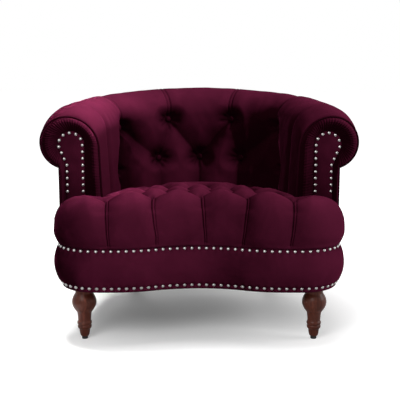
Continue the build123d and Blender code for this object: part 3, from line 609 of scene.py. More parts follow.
def facing_border(hand, side, material):
    """Padded border, gathered from the welt in to the nails."""
    outer = matched(scroll_outline(-edge_tuck, facing_bottom), facing_counts)
    inner = matched(keyhole_outline(2, facing_bottom), facing_counts)
    bm, u, v = cloth_grid(len(outer) - 1, 64)
    index = nearest_point(u, len(outer))
    across, back = two_stretches(v, 0.8)
    from_n, from_z = outer[index].T
    to_n, to_z = inner[index].T
    width = np.hypot(to_n - from_n, to_z - from_z)
    stops = [0, 0.03, 0.08, 0.16, 0.28, 0.45, 0.65, 0.85, 0.96, 1.0]
    heights = [1, 10, 16.5, 21.5, 24.5, 23.5, 18.5, 12, 8.5, 6]
    crown = np.interp(across, stops, heights)
    run = run_along(outer)[index]
    drift = 2.2 * lattice_noise(run / 34, run * 0, 11)
    gathers = np.sin((run + drift) / 9.5 * 2 * np.pi)
    gathers += 0.5 * np.sin((run - drift) / 6.1 * 2 * np.pi + 1.3)
    gathers *= 0.75 + 0.5 * lattice_noise(run / 16, across * 2, 7)
    crown += np.clip(width / 60, 0.35, 1) * 1.9 * gathers * np.sin(np.pi * across) ** 0.7
    crown += 1.1 * lattice_noise(from_n / 30, from_z / 30, 2) * np.sin(np.pi * across)
    reach = np.where(back > 0, 1 - back, across)
    out = np.where(back > 0, np.interp(back, [0, 0.2, 0.8, 1], [6, 0.5, 0.5, 1]), crown)
    n, z = from_n + reach * (to_n - from_n), from_z + reach * (to_z - from_z)
    drape(bm, facing_places(n, out, z, side))
    # Painted shade across the border, darkest at the welt and at the nails, paler on the gathers'
    # ridges and darker in their valleys
    dark = np.interp(across, [0, 0.06, 0.3, 0.6, 0.9, 1], [1.1, 0.75, 0.85, 1.0, 1.1, 1.2])
    mark_painted_shading_and_clouding(bm, dark - 0.3 * gathers, 1.0)
    close_ends(bm)
    name, node = hand + "_gathered_border", hand + "_arm_facing"
    return finished(bm, name, material, [node])


def facing_center(hand, side, material):
    """Plain padded panel inside the nails."""
    edge = keyhole_outline(-1, facing_bottom + 8)
    left = spaced(joined(edge[:2]), 101)
    right = spaced(joined(edge[2:])[::-1], 101)
    bm, u, v = cloth_grid(len(left) - 1, 48)
    index = nearest_point(u, len(left))
    across, back = two_stretches(v, 0.75)
    cross = np.where(back > 0, 1 - back, across)
    n = left[index, 0] + cross * (right[index, 0] - left[index, 0])
    z = left[index, 1] + cross * (right[index, 1] - left[index, 1])
    middle = np.clip(1 - np.abs(2 * across - 1), 0, 1)
    crown = 6 + 8 * np.sqrt(1 - (1 - middle) ** 2) * np.minimum(1, (1 - u) * 6)
    crown += 0.5 * lattice_noise(n / 18, z / 26, 4) * np.minimum(1, middle * 5)
    out = np.where(back > 0, np.interp(back, [0, 0.2, 0.8, 1], [6, 4, 4, 6]), crown)
    drape(bm, facing_places(n, out, z, side))
    # Painted shade over the whole panel, clouded at random
    mark_painted_shading_and_clouding(bm, facing_shade + cloud_shade * lattice_noise(n / 24, z / 34, 6), 1.0)
    close_ends(bm)
    name, node = hand + "_center_panel", hand + "_facing_panel"
    return finished(bm, name, material, [node])


def facing_welt(hand, side, material):
    """Covered cord round the edge of the facing."""
    line = spaced(joined(scroll_outline(-welt_radius, facing_bottom)), 300)
    along = np.gradient(line, axis=0)
    along /= np.hypot(*along.T)[:, None]
    bm, u, v = cloth_grid(len(line) - 1, 14)
    index = nearest_point(u, len(line))
    turn = v * 2 * np.pi
    ridge = welt_radius * (1 + 0.03 * np.sin(index * 1.9 + 2 * turn))
    n = line[index, 0] + ridge * np.cos(turn) * along[index, 1]
    z = line[index, 1] - ridge * np.cos(turn) * along[index, 0]
    out = welt_radius + 1.0 + ridge * np.sin(turn)
    drape(bm, facing_places(n, out, z, side))
    close_ends(bm)
    return finished(bm, hand + "_welt", material, [hand + "_arm_welt"])


# Seat cushion
def seat_top(x, y):
    """Height of the seat, which is crowned across and slopes down to the back."""
    crowned = seat_height - x**2 / (2 * seat_crown_radius)
    return crowned - (y - front_y - first_row) * math.tan(seat_slope)


def on_seat_top(z):
    """1 on the top of the seat form, falling to 0 below its rim."""
    return np.clip((z - seat_height + 87) / 30, 0, 1)


def inside_half_width(y, n):
    """Half of the width between the arms at y, n outside the inside line."""
    arm = tangent_x + n / math.cos(arm_toe) + (tangent_y - y) * math.tan(arm_toe)
    barrel = np.sqrt(np.maximum((barrel_radius + n) ** 2 - (y - center_y) ** 2, 0))
    return np.where(y < tangent_y, arm, barrel)


seat_buttons = []
for row in range(tuft_rows):
    for column in range(-5, 6):
        button_x = column * column_pitch / 2
        button_y = front_y + first_row + front_dip / 2 + row * row_pitch
        if row == 0:
            button_y = float(front_edge_y(button_x)) + first_row
        limit = bulge_x + 40 if row == 0 else float(inside_half_width(button_y, -foot_lean)) - 26
        if (column + row) % 2 == 0 and abs(button_x) < limit:
            seat_buttons.append((row, button_x, button_y))


def seat_form():
    """Stuffed seat before it is buttoned: serpentine front with ears, as one even mesh."""
    front_share, ear_share = 0.56, 0.06
    bm, u, v = cloth_grid(420, 40)
    belly, over = two_stretches(v, 0.25)
    over = over * np.pi / 2
    tucked = seat_tuck * (1 - np.sin(belly * np.pi / 2))
    t = seat_overhang - tucked - seat_round * (1 - np.cos(over) ** 0.8)
    dome_height = seat_height - seat_bottom - seat_belly
    z = seat_bottom + belly * seat_belly + dome_height * np.sin(over) ** 0.8
    x, y, _, _ = front_points(2 * np.clip(u / front_share, 0, 1) - 1, t, ear_y)
    past = (u - front_share) / (1 - front_share)
    lean_n = -foot_lean - 1 + (z - seat_bottom) / math.tan(wall_lean)
    inside_x = inside_half_width(ear_y, lean_n)
    ear = np.clip(np.minimum(past, 1 - past) / ear_share, 0, 1)
    hand = np.where(past < 0.5, 1.0, -1.0)
    ear_x = half_width + t + ear * (inside_x - half_width - t)
    around = np.clip((past - ear_share) / (1 - 2 * ear_share), 0, 1) * 2 - 1
    reach = arc_half + (tangent_y - ear_y) / math.cos(arm_toe)
    path_x, path_y, out_x, out_y = wall_path(-around * reach)
    inner_x, inner_y = path_x + lean_n * out_x, path_y + lean_n * out_y
    x = np.where(past > 0, np.where(ear < 1, hand * ear_x, inner_x), x)
    y = np.where(past > 0, np.where(ear < 1, ear_y, np.maximum(inner_y, ear_y)), y)
    drape(bm, np.stack([x, y, z], axis=1))
    close_ends(bm)
    mesh = bpy.data.meshes.new("seat form")
    bmesh.ops.recalc_face_normals(bm, faces=bm.faces)
    bm.to_mesh(mesh)
    bm.free()
    form = bpy.data.objects.new("seat form", mesh)
    bpy.context.scene.collection.objects.link(form)
    even = form.modifiers.new("even mesh", "REMESH")
    even.mode = "VOXEL"
    even.voxel_size = seat_voxel * MM
    bpy.context.view_layer.update()
    evaluated = form.evaluated_get(bpy.context.evaluated_depsgraph_get())
    remeshed = bpy.data.meshes.new_from_object(evaluated)
    bpy.data.objects.remove(form)
    bm = bmesh.new()
    bm.from_mesh(remeshed)
    bpy.data.meshes.remove(remeshed)
    return bm


seat_folds = []
for row, button_x, button_y in seat_buttons:
    for next_row, next_x, next_y in seat_buttons:
        if next_row == row + 1 and abs(next_x - button_x) < 0.6 * column_pitch:
            seat_folds.append((button_x, button_y, next_x, next_y, *seat_fold))
front_pleats = [(x, y) for row, x, y in seat_buttons if row == 0]


def pleat_gap(down):
    """Distance between the two lines of a front pleat, which close up towards the nails."""
    return pleat_spread * (1 - 0.5 * down)


def pleat_offset(x, y, z, pleat):
    """Sideways distance from a front pleat, and how far down the pleat from its button, 0 to 1."""
    ahead = np.clip((pleat[1] - y) / 90, 0, 1)
    below = np.clip((seat_height - 52 - z) / 110, 0, 1)
    down = 0.45 * ahead + 0.55 * below
    waver = 2.5 * lattice_noise((z - y) / 38 + pleat[0], x * 0, 14) * down
    return x - pleat[0] - 16 * math.copysign(1, 40 - pleat[0]) * down + waver, down


def crease_distance(x, y, z):
    """Distance to the nearest fold or pleat of the seat."""
    nearest = np.full_like(x, 1000.0)
    on_top = z > seat_height - 90
    for fold in seat_folds:
        away = from_fold(x, y, 1.0, fold)[1]
        nearest = np.where(on_top, np.minimum(nearest, away), nearest)
    for pleat in front_pleats:
        aside, down = pleat_offset(x, y, z, pleat)
        away = np.abs(aside - pleat_gap(down) / 2) - pleat_gap(down) / 2
        on_front = (y < pleat[1]) & (z > seat_bottom + 4)
        nearest = np.where(on_front, np.minimum(nearest, away), nearest)
    return nearest


def refine_creases(bm):
    """Smaller faces along the folds and pleats, so that they stay sharp."""
    for reach in (13, 6):
        near = crease_distance(*(np.array([vert.co for vert in bm.verts]) / MM).T) < reach
        bm.verts.index_update()
        edges = [edge for edge in bm.edges if all(near[vert.index] for vert in edge.verts)]
        bmesh.ops.subdivide_edges(bm, edges=edges, cuts=1, use_grid_fill=True)


def seat_edge(x, y, z):
    """How far the top of the seat rounds down where it meets the facings, the arms and the back."""
    top = on_seat_top(z)
    lean_n = -foot_lean + (z - seat_bottom) / math.tan(wall_lean)
    to_wall = inside_half_width(y, lean_n) - np.abs(x)
    at_wall = edge_drop * pillow(np.maximum(to_wall, 0), edge_reach) * top
    ears = np.clip((np.abs(x) - inside_half_width(ear_y, 0) + 40) / 30, 0, 1)
    at_facing = ears * ear_drop * pillow(np.maximum(ear_y - y, 0), ear_reach) * top
    return np.where(y > ear_y + 2, at_wall, at_facing)


def seat_depth(x, y, z):
    """How far the buttons, folds and pleats draw the seat's cover in."""
    top = on_seat_top(z)
    buttons = [(at_x, at_y, *seat_tuft) for _, at_x, at_y in seat_buttons]
    depth = pulled_in(x, y, 1.0, buttons, seat_folds) * top
    depth -= puckers(x, y, 1.0, buttons, 1.5) * top
    for pleat in front_pleats:
        ahead = np.clip((pleat[1] - y) / 14, 0, 1)
        aside, down = pleat_offset(x, y, z, pleat)
        deep = np.interp(down, [0, 0.15, 0.32, 0.5, 0.75, 1], [35, 28, 20, 10, 6, 4])
        drawn = deep * pillow(np.abs(aside), np.interp(down, [0.3, 0.7], [63, 46]), 1.0)
        sewn = 3.6 * np.exp(-np.abs(aside) / 1.6)
        second = 2.4 * np.exp(-np.abs(aside - pleat_gap(down)) / 1.5) * np.clip(down * 4, 0, 1)
        depth = np.maximum(depth, ahead * (drawn + second + sewn))
    ripple = 1.6 * lattice_noise(x / 60, (y - z) / 60, 8)
    ripple += 0.6 * lattice_noise(x / 22, (y - z) / 22, 9)
    return depth + ripple * (z > seat_bottom + 12)


def seat_creases(x, y, z):
    """Painted shade along the sewn pleats, as dark lines from 0 to 1."""
    line = np.zeros_like(x)
    for pleat in front_pleats:
        aside, down = pleat_offset(x, y, z, pleat)
        second = 0.5 * np.exp(-(((aside - pleat_gap(down)) / 1.7) ** 2)) * (down > 0.1)
        both = np.exp(-((aside / 2.0) ** 2)) + second
        line = np.maximum(line, np.where(y < pleat[1], both, 0))
    return np.clip(line, 0, 1)


def seat_cushion(material):
    """Buttoned seat: the form is crowned, drawn in along its normals and a little smoothed."""
    bm = seat_form()
    refine_creases(bm)
    place = np.array([vert.co for vert in bm.verts]) / MM
    x, y, z = place.T
    raised = (z - seat_bottom) / (seat_height - seat_bottom)
    edge = seat_edge(x, y, z)
    z = seat_bottom + raised * (seat_top(x, y) - seat_bottom - edge)
    drape(bm, np.stack([x, y, z], axis=1))
    bm.normal_update()
    normal = np.array([vert.normal for vert in bm.verts])
    free = np.clip((z - seat_bottom - 2) / 8, 0, 1)
    depth = np.maximum(seat_depth(x, y, place[:, 2]) - edge, 0) * free
    drape(bm, np.stack([x, y, z], axis=1) - normal * depth[:, None])
    # Painted shade: darker where the seat is drawn in or rounds down at its edges, and along the sewn
    # pleats
    dark = shaded(depth + edge, *seat_painted_shade) + pleat_shade * seat_creases(x, y, place[:, 2])
    mark_painted_shading_and_clouding(bm, dark, seat_painted_shade[0])
    axes = {"use_axis_x": True, "use_axis_y": True, "use_axis_z": True}
    bmesh.ops.smooth_vert(bm, verts=bm.verts, factor=0.25, **axes)
    return finished(bm, "seat", material, ["seat_cushion"])


# Front band and outside panels
def band_t(z):
    """How far the bulged band stands out of the nail line at a height."""
    return band_bulge - band_radius + np.sqrt(band_radius**2 - (z - band_bulge_z) ** 2)


def band_nails(z):
    """Places of a row of nails along the band, -1 to 1."""
    count = round(front_length(float(band_t(z)), face_y) / nail_pitch)
    return (np.arange(count) + 0.5) / count * 2 - 1


def band_face(along, z):
    """The band's face, drawn in at its nails and rolled back at its ends."""
    half_run = front_length(0, face_y) / 2
    t = band_t(z) + lattice_noise(along * half_run / 70, z / 45, 12)
    for nail_z, draw in ((upper_nail_z, 3.2), (lower_nail_z, 4.2)):
        t -= draw * np.exp(-(((z - nail_z) / 6.5) ** 2))
        nearest = np.abs(along[:, None] - band_nails(nail_z)[None, :]).min(axis=1) * half_run
        off_row = np.abs(z - nail_z)
        t -= 1.3 * np.exp(-((nearest / 5) ** 2) - (off_row / 9) ** 2)
        t += 0.8 * np.exp(-(((nearest - 11) / 5) ** 2)) * np.exp(-(((off_row - 9) / 8) ** 2))
    t += np.where(z < lower_nail_z - 4, 1.5, 0)
    to_end = np.clip((1 - np.abs(along)) * half_run / 14, 0, 1)
    return t - 16 * (1 - np.sqrt(1 - (1 - to_end) ** 2))


def front_band(material):
    """Bulged band between the two rows of nails, with a narrow hem below."""
    bm, u, v = cloth_grid(560, 70)
    along = 2 * u - 1
    stops = [0, 0.7, 0.8, 0.9, 1]
    z = np.interp(v, stops, [seat_bottom, leg_height, leg_height, seat_bottom, seat_bottom])
    inward = np.interp(v, stops, [0, 0, 1, 1, 0])
    t = band_face(along, z) * (1 - inward) - band_depth * inward
    x, y, out_x, out_y = front_points(along, 0, face_y)
    drape(bm, np.stack([x + t * out_x, y + t * out_y, z], axis=1))
    close_ends(bm)
    return finished(bm, "front_band_cover", material, ["front_band"])


def outside_panel(name, node, q_start, q_end, columns, material):
    """Cover stretched over the outside, slightly padded."""
    bm, u, v = cloth_grid(columns, 90)
    q = q_start + u * (q_end - q_start)
    face, back = two_stretches(v, 0.8)
    z = leg_height + face * (top_rail_z - leg_height)
    from_side = np.minimum(u, 1 - u) * abs(q_end - q_start) * 1.4
    edge = np.minimum(from_side, np.minimum(z - leg_height, 90))
    padding = 5 + 0.8 * lattice_noise(q / 80, z / 80, 6)
    n = wall_out - 3 + padding * np.sqrt(np.clip(edge / 60, 0, 1))
    n = np.where(back > 0, wall_out - 3 - 3 * np.sin(np.pi * back), n)
    z = np.where(back > 0, top_rail_z + back * (leg_height - top_rail_z), z)
    squared = np.clip((np.abs(q) - arc_half) / (q_face - arc_half), 0, 1)
    drape(bm, off_wall(q, n, z, squared))
    # Painted light: the outside panels are painted lighter all over, clouded at random
    mark_painted_shading_and_clouding(bm, panel_shade + cloud_shade * lattice_noise(u * 9, v * 9, 12), 1.0)
    close_ends(bm)
    return finished(bm, name, material, [node])


# Small pieces that repeat
def set_in(bm, source, place, outward, up):
    """Adds a copy of a small shape at a place in millimetres, its Z axis turned outward."""
    outward = Vector(outward).normalized()
    across = Vector(up).cross(outward).normalized()
    turned = Matrix((across, outward.cross(across), outward)).transposed().to_4x4()
    copy = bmesh.ops.duplicate(bm, geom=source)["geom"]
    verts = [item for item in copy if isinstance(item, bmesh.types.BMVert)]
    bmesh.ops.transform(bm, matrix=Matrix.Translation(Vector(place) * MM) @ turned, verts=verts)


def spin_profile(bm, profile, steps, mid=(0, 0)):
    """Spins a line of radii and heights, in millimetres, round an upright axis."""
    verts = [bm.verts.new((mid[0] + out * MM, mid[1], z * MM)) for out, z in profile]
    edges = [bm.edges.new(pair) for pair in zip(verts[:-1], verts[1:])]
    bmesh.ops.spin(
        bm,
        geom=verts + edges,
        cent=(*mid, 0),
        axis=(0, 0, 1),
        angle=2 * math.pi,
        steps=steps,
        use_merge=True,
    )


def dome(bm, radius, height, sides, rings):
    """Low round head on a short rim, flat underneath, spun from its profile."""
    rise = np.linspace(math.pi / 2, 0, rings)
    profile = [(radius * math.cos(turn), height * math.sin(turn)) for turn in rise]
    spin_profile(bm, profile + [(radius, -1.2), (0, -1.2)], sides)
    bmesh.ops.remove_doubles(bm, verts=bm.verts, dist=0.01 * MM)
    return bm.verts[:] + bm.edges[:] + bm.faces[:]


def repeated(name, node, material, places, head, dark=0.0):
    """One piece of many heads, each at its place, turned outward; dark is the painted shade given to
    them all.
    """
    bm = bmesh.new()
    source = dome(bm, *head)
    for place, outward, up in places:
        set_in(bm, source, place, outward, up)
    source_verts = [item for item in source if isinstance(item, bmesh.types.BMVert)]
    bmesh.ops.delete(bm, geom=source_verts, context="VERTS")
    mark_painted_shading_and_clouding(bm, np.full(len(bm.verts), dark), 1.0)
    return finished(bm, name, material, [node])


def band_nail_places(z):
    """Place, outward and up directions of each nail in a row of the band."""
    t = float(band_t(z)) - band_nail_sink
    tilt = math.asin((z - band_bulge_z) / band_radius)
    level, rise = math.cos(tilt), math.sin(tilt)
    x, y, out_x, out_y = front_points(band_nails(z), t, face_y)
    places = np.stack([x, y, np.full_like(x, z)], axis=1)
    outward = np.stack([out_x * level, out_y * level, np.full_like(x, rise)], axis=1)
    return [(place, out, (0, 0, 1)) for place, out in zip(places, outward)]


def facing_nail_places(side):
    """Place, outward and up directions of each nail round a facing panel."""
    line = joined(keyhole_outline(nail_radius + face_nail_inset, face_nail_foot))
    nails = spaced(line, round(run_along(line)[-1] / face_nail_pitch) + 1)
    places = facing_places(nails[:, 0], np.full(len(nails), face_nail_out), nails[:, 1], side)
    return [(place, (0, -1, 0), (0, 0, 1)) for place in places]


def seat_button_places():
    """Place, outward and up directions of each button of the seat."""
    places = [(x, y, float(seat_top(x, y)) - seat_button_sink) for _, x, y in seat_buttons]
    return [(place, (0, -0.05, 1), (0, 1, 0)) for place in places]


def wall_button_places():
    """Place, outward and up directions of each button of the wall."""
    at = np.array([button[:2] for button in wall_buttons])
    x, y, out_x, out_y = wall_path(at[:, 0])
    n = -foot_lean + at[:, 1] * math.cos(wall_lean) + wall_button_sink
    z = pad_foot_z + at[:, 1] * math.sin(wall_lean)
    places = np.stack([x + n * out_x, y + n * out_y, z], axis=1)
    outward = np.stack([-out_x, -out_y, np.full_like(x, 0.08)], axis=1)
    return [(place, out, (0, 0, 1)) for place, out in zip(places, outward)]


# Legs
def leg_profile():
    """Radius and height of the turned front leg, from the collar to the glide."""
    ball_z, neck_z, stem_z = leg_height - 48, leg_height - 84, leg_height - 113
    ring_foot = stem_z - 12
    collar = [[0.5, leg_height], [27, leg_height], [27.5, leg_height - 3], [27.5, ball_z + 31]]
    ball = [[29.5, ball_z + 26.5], [32.5, ball_z + 22], [35.5, ball_z + 16.5]]
    ball += [[37.8, ball_z + 10.5], [39.2, ball_z + 4], [39.5, ball_z - 1.5]]
    ball += [[39, ball_z - 7], [37.6, ball_z - 12.5], [35.2, ball_z - 18]]
    belly = [[32, ball_z - 23.5], [28.4, ball_z - 28.5], [25.2, neck_z + 3.5], [23.4, neck_z - 0.5]]
    stem = [[22.6, neck_z - 5], [21.8, neck_z - 13], [21.1, neck_z - 21], [20.7, stem_z + 1.5]]
    ring = [[21.6, stem_z], [23.2, stem_z - 2.5], [23.6, stem_z - 5.5]]
    ring += [[23.2, stem_z - 8.5], [21.6, stem_z - 11]]
    bead = [[20.6, ring_foot + 0.2], [21.4, ring_foot - 1], [22.6, ring_foot - 4]]
    bead += [[22.6, ring_foot - 7.5], [21.6, ring_foot - 11], [19.6, ring_foot - 13.4]]
    toe = [[17.6, ring_foot - 14.8], [17.2, ring_foot - 20], [16.2, 20]]
    toe += [[14.4, 13], [12.4, 9.5], [0.5, 8.2]]
    return np.array(collar + ball + belly + stem + ring + bead + toe, dtype=float)


def turned_leg(hand, material):
    """Front leg, spun where its CAD node stands."""
    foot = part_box(hand + "_front_leg")
    mid_x, mid_y = (foot[0].x + foot[1].x) / 2, (foot[0].y + foot[1].y) / 2
    bm = bmesh.new()
    spin_profile(bm, leg_profile(), 56, (mid_x, mid_y))
    bmesh.ops.holes_fill(bm, edges=[edge for edge in bm.edges if edge.is_boundary], sides=0)
    return finished(bm, hand + "_turned_leg", material, [hand + "_front_leg"])


def raked_leg(hand, material):
    """Rear leg: the hull of its CAD node, with its edges eased."""
    bm = bmesh.new()
    for vert in frame["nodes"][hand + "_rear_leg"].data.vertices:
        bm.verts.new(vert.co)
    bmesh.ops.remove_doubles(bm, verts=bm.verts, dist=0.05 * MM)
    hull = bmesh.ops.convex_hull(bm, input=bm.verts)
    inside = [item for item in hull["geom_interior"] if isinstance(item, bmesh.types.BMVert)]
    bmesh.ops.delete(bm, geom=inside, context="VERTS")
    bmesh.ops.dissolve_limit(bm, angle_limit=math.radians(2), verts=bm.verts, edges=bm.edges)
    eased = {"offset": 2.2 * MM, "affect": "EDGES", "segments": 3, "profile": 0.5, "material": -1}
    bmesh.ops.bevel(bm, geom=bm.edges[:], **eased)
    name, node = hand + "_raked_leg", hand + "_rear_leg"
    return finished(bm, name, material, [node], smooth=False)


# Materials
def new_material(name):
    """Empty material, with its nodes, links and main shader."""
    material = bpy.data.materials.new(name)
    material.use_nodes = True
    nodes, links = material.node_tree.nodes, material.node_tree.links
    return material, nodes, links, nodes["Principled BSDF"]


def new_group(name, inputs, outputs):
    """Node group with named sockets, and its nodes, links, entry and exit."""
    group = bpy.data.node_groups.new(name, "ShaderNodeTree")
    for socket, kind in inputs.items():
        group.interface.new_socket(socket, in_out="INPUT", socket_type="NodeSocket" + kind)
    for socket in outputs:
        group.interface.new_socket(socket, in_out="OUTPUT", socket_type="NodeSocketFloat")
    nodes = group.nodes
    return group, nodes, group.links, nodes.new("NodeGroupInput"), nodes.new("NodeGroupOutput")


def noise(nodes, links, vector, **values):
    """Noise texture read at a vector, with its inputs set by name."""
    texture = nodes.new("ShaderNodeTexNoise")
    links.new(vector, texture.inputs["Vector"])
    for name, value in values.items():
        texture.inputs[name].default_value = value
    return texture


def ranged(nodes, links, value, low, high, start=0.0, end=1.0):
    """Map Range node that takes a value between start and end to one between low and high."""
    spread = nodes.new("ShaderNodeMapRange")
    spread.inputs["From Min"].default_value = start
    spread.inputs["From Max"].default_value = end
    spread.inputs["To Min"].default_value = low
    spread.inputs["To Max"].default_value = high
    links.new(value, spread.inputs["Value"])
    return spread


def tint_between(nodes, links, shader, mask, dark, light):
    """Base colour between two tones by a mask."""
    tint = nodes.new("ShaderNodeMix")
    tint.data_type = "RGBA"
    tint.inputs["A"].default_value = (*dark, 1)
    tint.inputs["B"].default_value = (*light, 1)
    links.new(mask, tint.inputs["Factor"])
    links.new(tint.outputs["Result"], shader.inputs["Base Color"])


def roughen(nodes, links, shader, mask, low, high):
    """Roughness between two values by a mask."""
    rough = ranged(nodes, links, mask, low, high)
    links.new(rough.outputs["Result"], shader.inputs["Roughness"])


def raise_bumps(nodes, links, shader, height, strength, distance):
    """Fine relief by a height."""
    bump = nodes.new("ShaderNodeBump")
    bump.inputs["Strength"].default_value = strength
    bump.inputs["Distance"].default_value = distance
    links.new(height, bump.inputs["Height"])
    links.new(bump.outputs["Normal"], shader.inputs["Normal"])


def velvet_shading_group():
    """Velvet tone with painted light: faces turned one way are painted pale, the others dark, and
    hollows get painted shade; also crushed patches and fibres.
    """
    sockets = {"Normal": "Vector", "Painted Shading and Clouding": "Float", "Patch": "Float"}
    group, nodes, links, entry, leave = new_group("velvet painted light and tone", sockets, ("Shade", "Fibre"))
    place = nodes.new("ShaderNodeTexCoord").outputs["Object"]
    patches = noise(nodes, links, place, Detail=5, Roughness=0.62, Distortion=0.6)
    links.new(entry.outputs["Patch"], patches.inputs["Scale"])
    fibres = noise(nodes, links, place, Scale=1400, Detail=2)
    # Painted light: paler the more a face turns towards one direction
    painted_facing_light = nodes.new("ShaderNodeVectorMath")
    painted_facing_light.operation = "DOT_PRODUCT"
    painted_facing_light.inputs[1].default_value = painted_light_direction
    links.new(entry.outputs["Normal"], painted_facing_light.inputs[0])
    low, high = painted_light_middle - nap_patches, painted_light_middle + nap_patches
    spread = ranged(nodes, links, patches.outputs["Fac"], low, high, start=0.3, end=0.7)
    lit = nodes.new("ShaderNodeMath")
    links.new(painted_facing_light.outputs["Value"], lit.inputs[0])
    links.new(spread.outputs["Result"], lit.inputs[1])
    # Painted shade: darker the larger the painted shading mark
    painted_shading_total = nodes.new("ShaderNodeMath")
    painted_shading_total.operation = "MULTIPLY_ADD"
    painted_shading_total.use_clamp = True
    painted_shading_total.inputs[1].default_value = -painted_shading_strength
    links.new(entry.outputs["Painted Shading and Clouding"], painted_shading_total.inputs[0])
    links.new(lit.outputs["Value"], painted_shading_total.inputs[2])
    links.new(painted_shading_total.outputs["Value"], leave.inputs["Shade"])
    links.new(fibres.outputs["Fac"], leave.inputs["Fibre"])
    return group


def velvet_material(name, group, dark, light, patch):
    """Velvet between two tones by its painted light and shade; patch is the scale of its crushed
    patches.
    """
    material, nodes, links, shader = new_material(name)
    pile = nodes.new("ShaderNodeGroup")
    pile.node_tree = group
    pile.inputs["Patch"].default_value = patch
    surface = nodes.new("ShaderNodeNewGeometry")
    links.new(surface.outputs["Normal"], pile.inputs["Normal"])
    painted_shading_and_clouding = nodes.new("ShaderNodeAttribute")
    painted_shading_and_clouding.attribute_name = "painted_shading_and_clouding"
    links.new(painted_shading_and_clouding.outputs["Fac"], pile.inputs["Painted Shading and Clouding"])
    tint_between(nodes, links, shader, pile.outputs["Shade"], dark, light)
    roughen(nodes, links, shader, pile.outputs["Shade"], 0.7, 0.55)
    raise_bumps(nodes, links, shader, pile.outputs["Fibre"], 0.25, 0.0006)
    shader.inputs["Specular IOR Level"].default_value = 0.0
    shader.inputs["Sheen Weight"].default_value = 0.06
    shader.inputs["Sheen Roughness"].default_value = 0.3
    shader.inputs["Sheen Tint"].default_value = (1.0, 0.12, 0.36, 1)
    return material


def grain_group():
    """Wood figure: long growth lines with fine pores, running up the piece."""
    sockets = {"Figure": "Float"}
    group, nodes, links, entry, leave = new_group("wood figure", sockets, ("Lines", "Pores"))
    place = nodes.new("ShaderNodeTexCoord")
    drawn = nodes.new("ShaderNodeMapping")
    drawn.inputs["Scale"].default_value = (1, 1, 0.09)
    links.new(place.outputs["Object"], drawn.inputs["Vector"])
    lines = noise(nodes, links, drawn.outputs["Vector"], Detail=6, Distortion=1.2)
    links.new(entry.outputs["Figure"], lines.inputs["Scale"])
    pores = noise(nodes, links, drawn.outputs["Vector"], Scale=900, Detail=2)
    links.new(lines.outputs["Fac"], leave.inputs["Lines"])
    links.new(pores.outputs["Fac"], leave.inputs["Pores"])
    return group


def wood_material(name, group, dark, light, lines, rough, shine):
    """Wood between two tones; lines is the scale of its figure."""
    material, nodes, links, shader = new_material(name)
    wood = nodes.new("ShaderNodeGroup")
    wood.node_tree = group
    wood.inputs["Figure"].default_value = lines
    spread = ranged(nodes, links, wood.outputs["Lines"], 0.0, 1.0, start=0.35, end=0.65)
    tint_between(nodes, links, shader, spread.outputs["Result"], dark, light)
    roughen(nodes, links, shader, wood.outputs["Pores"], *rough)
    raise_bumps(nodes, links, shader, wood.outputs["Pores"], 0.12, 0.0004)
    shader.inputs["Specular IOR Level"].default_value = shine
    return material


def tarnish_group():
    """Metal and moulded surfaces: faint clouding and fine scratches."""
    sockets = {"Scale": "Float"}
    group, nodes, links, entry, leave = new_group("surface wear", sockets, ("Cloud", "Scratch"))
    place = nodes.new("ShaderNodeTexCoord").outputs["Object"]
    cloud = noise(nodes, links, place, Detail=4)
    links.new(entry.outputs["Scale"], cloud.inputs["Scale"])
    scratch = noise(nodes, links, place, Scale=2200)
    links.new(cloud.outputs["Fac"], leave.inputs["Cloud"])
    links.new(scratch.outputs["Fac"], leave.inputs["Scratch"])
    return group


def worn_material(name, group, dark, light, scale, metal, rough):
    """Metal or moulding between two tones; scale is that of its clouding."""
    material, nodes, links, shader = new_material(name)
    wear = nodes.new("ShaderNodeGroup")
    wear.node_tree = group
    wear.inputs["Scale"].default_value = scale
    tint_between(nodes, links, shader, wear.outputs["Cloud"], dark, light)
    roughen(nodes, links, shader, wear.outputs["Cloud"], *rough)
    raise_bumps(nodes, links, shader, wear.outputs["Scratch"], 0.08, 0.0002)
    shader.inputs["Metallic"].default_value = metal
    return material


def cloth_material(name, dark, light, threads):
    """Plain weave: crossed threads by Object coordinates."""
    material, nodes, links, shader = new_material(name)
    place = nodes.new("ShaderNodeTexCoord")
    weave = nodes.new("ShaderNodeMath")
    weave.operation = "MULTIPLY"
    for index, direction in enumerate(("X", "Y")):
        wave = nodes.new("ShaderNodeTexWave")
        wave.bands_direction = direction
        wave.inputs["Scale"].default_value = threads
        wave.inputs["Distortion"].default_value = 0.4
        links.new(place.outputs["Object"], wave.inputs["Vector"])
        links.new(wave.outputs["Fac"], weave.inputs[index])
    tint_between(nodes, links, shader, weave.outputs["Value"], dark, light)
    raise_bumps(nodes, links, shader, weave.outputs["Value"], 0.3, 0.0004)
    shader.inputs["Roughness"].default_value = 0.9
    return material


pile = velvet_shading_group()
# The velvet's dark and light tones are the two ends of its painted light and shade
velvet = velvet_material(
    "plum velvet", pile, dark=(0.010, 0.0008, 0.0028), light=(0.104, 0.0112, 0.034), patch=9
)
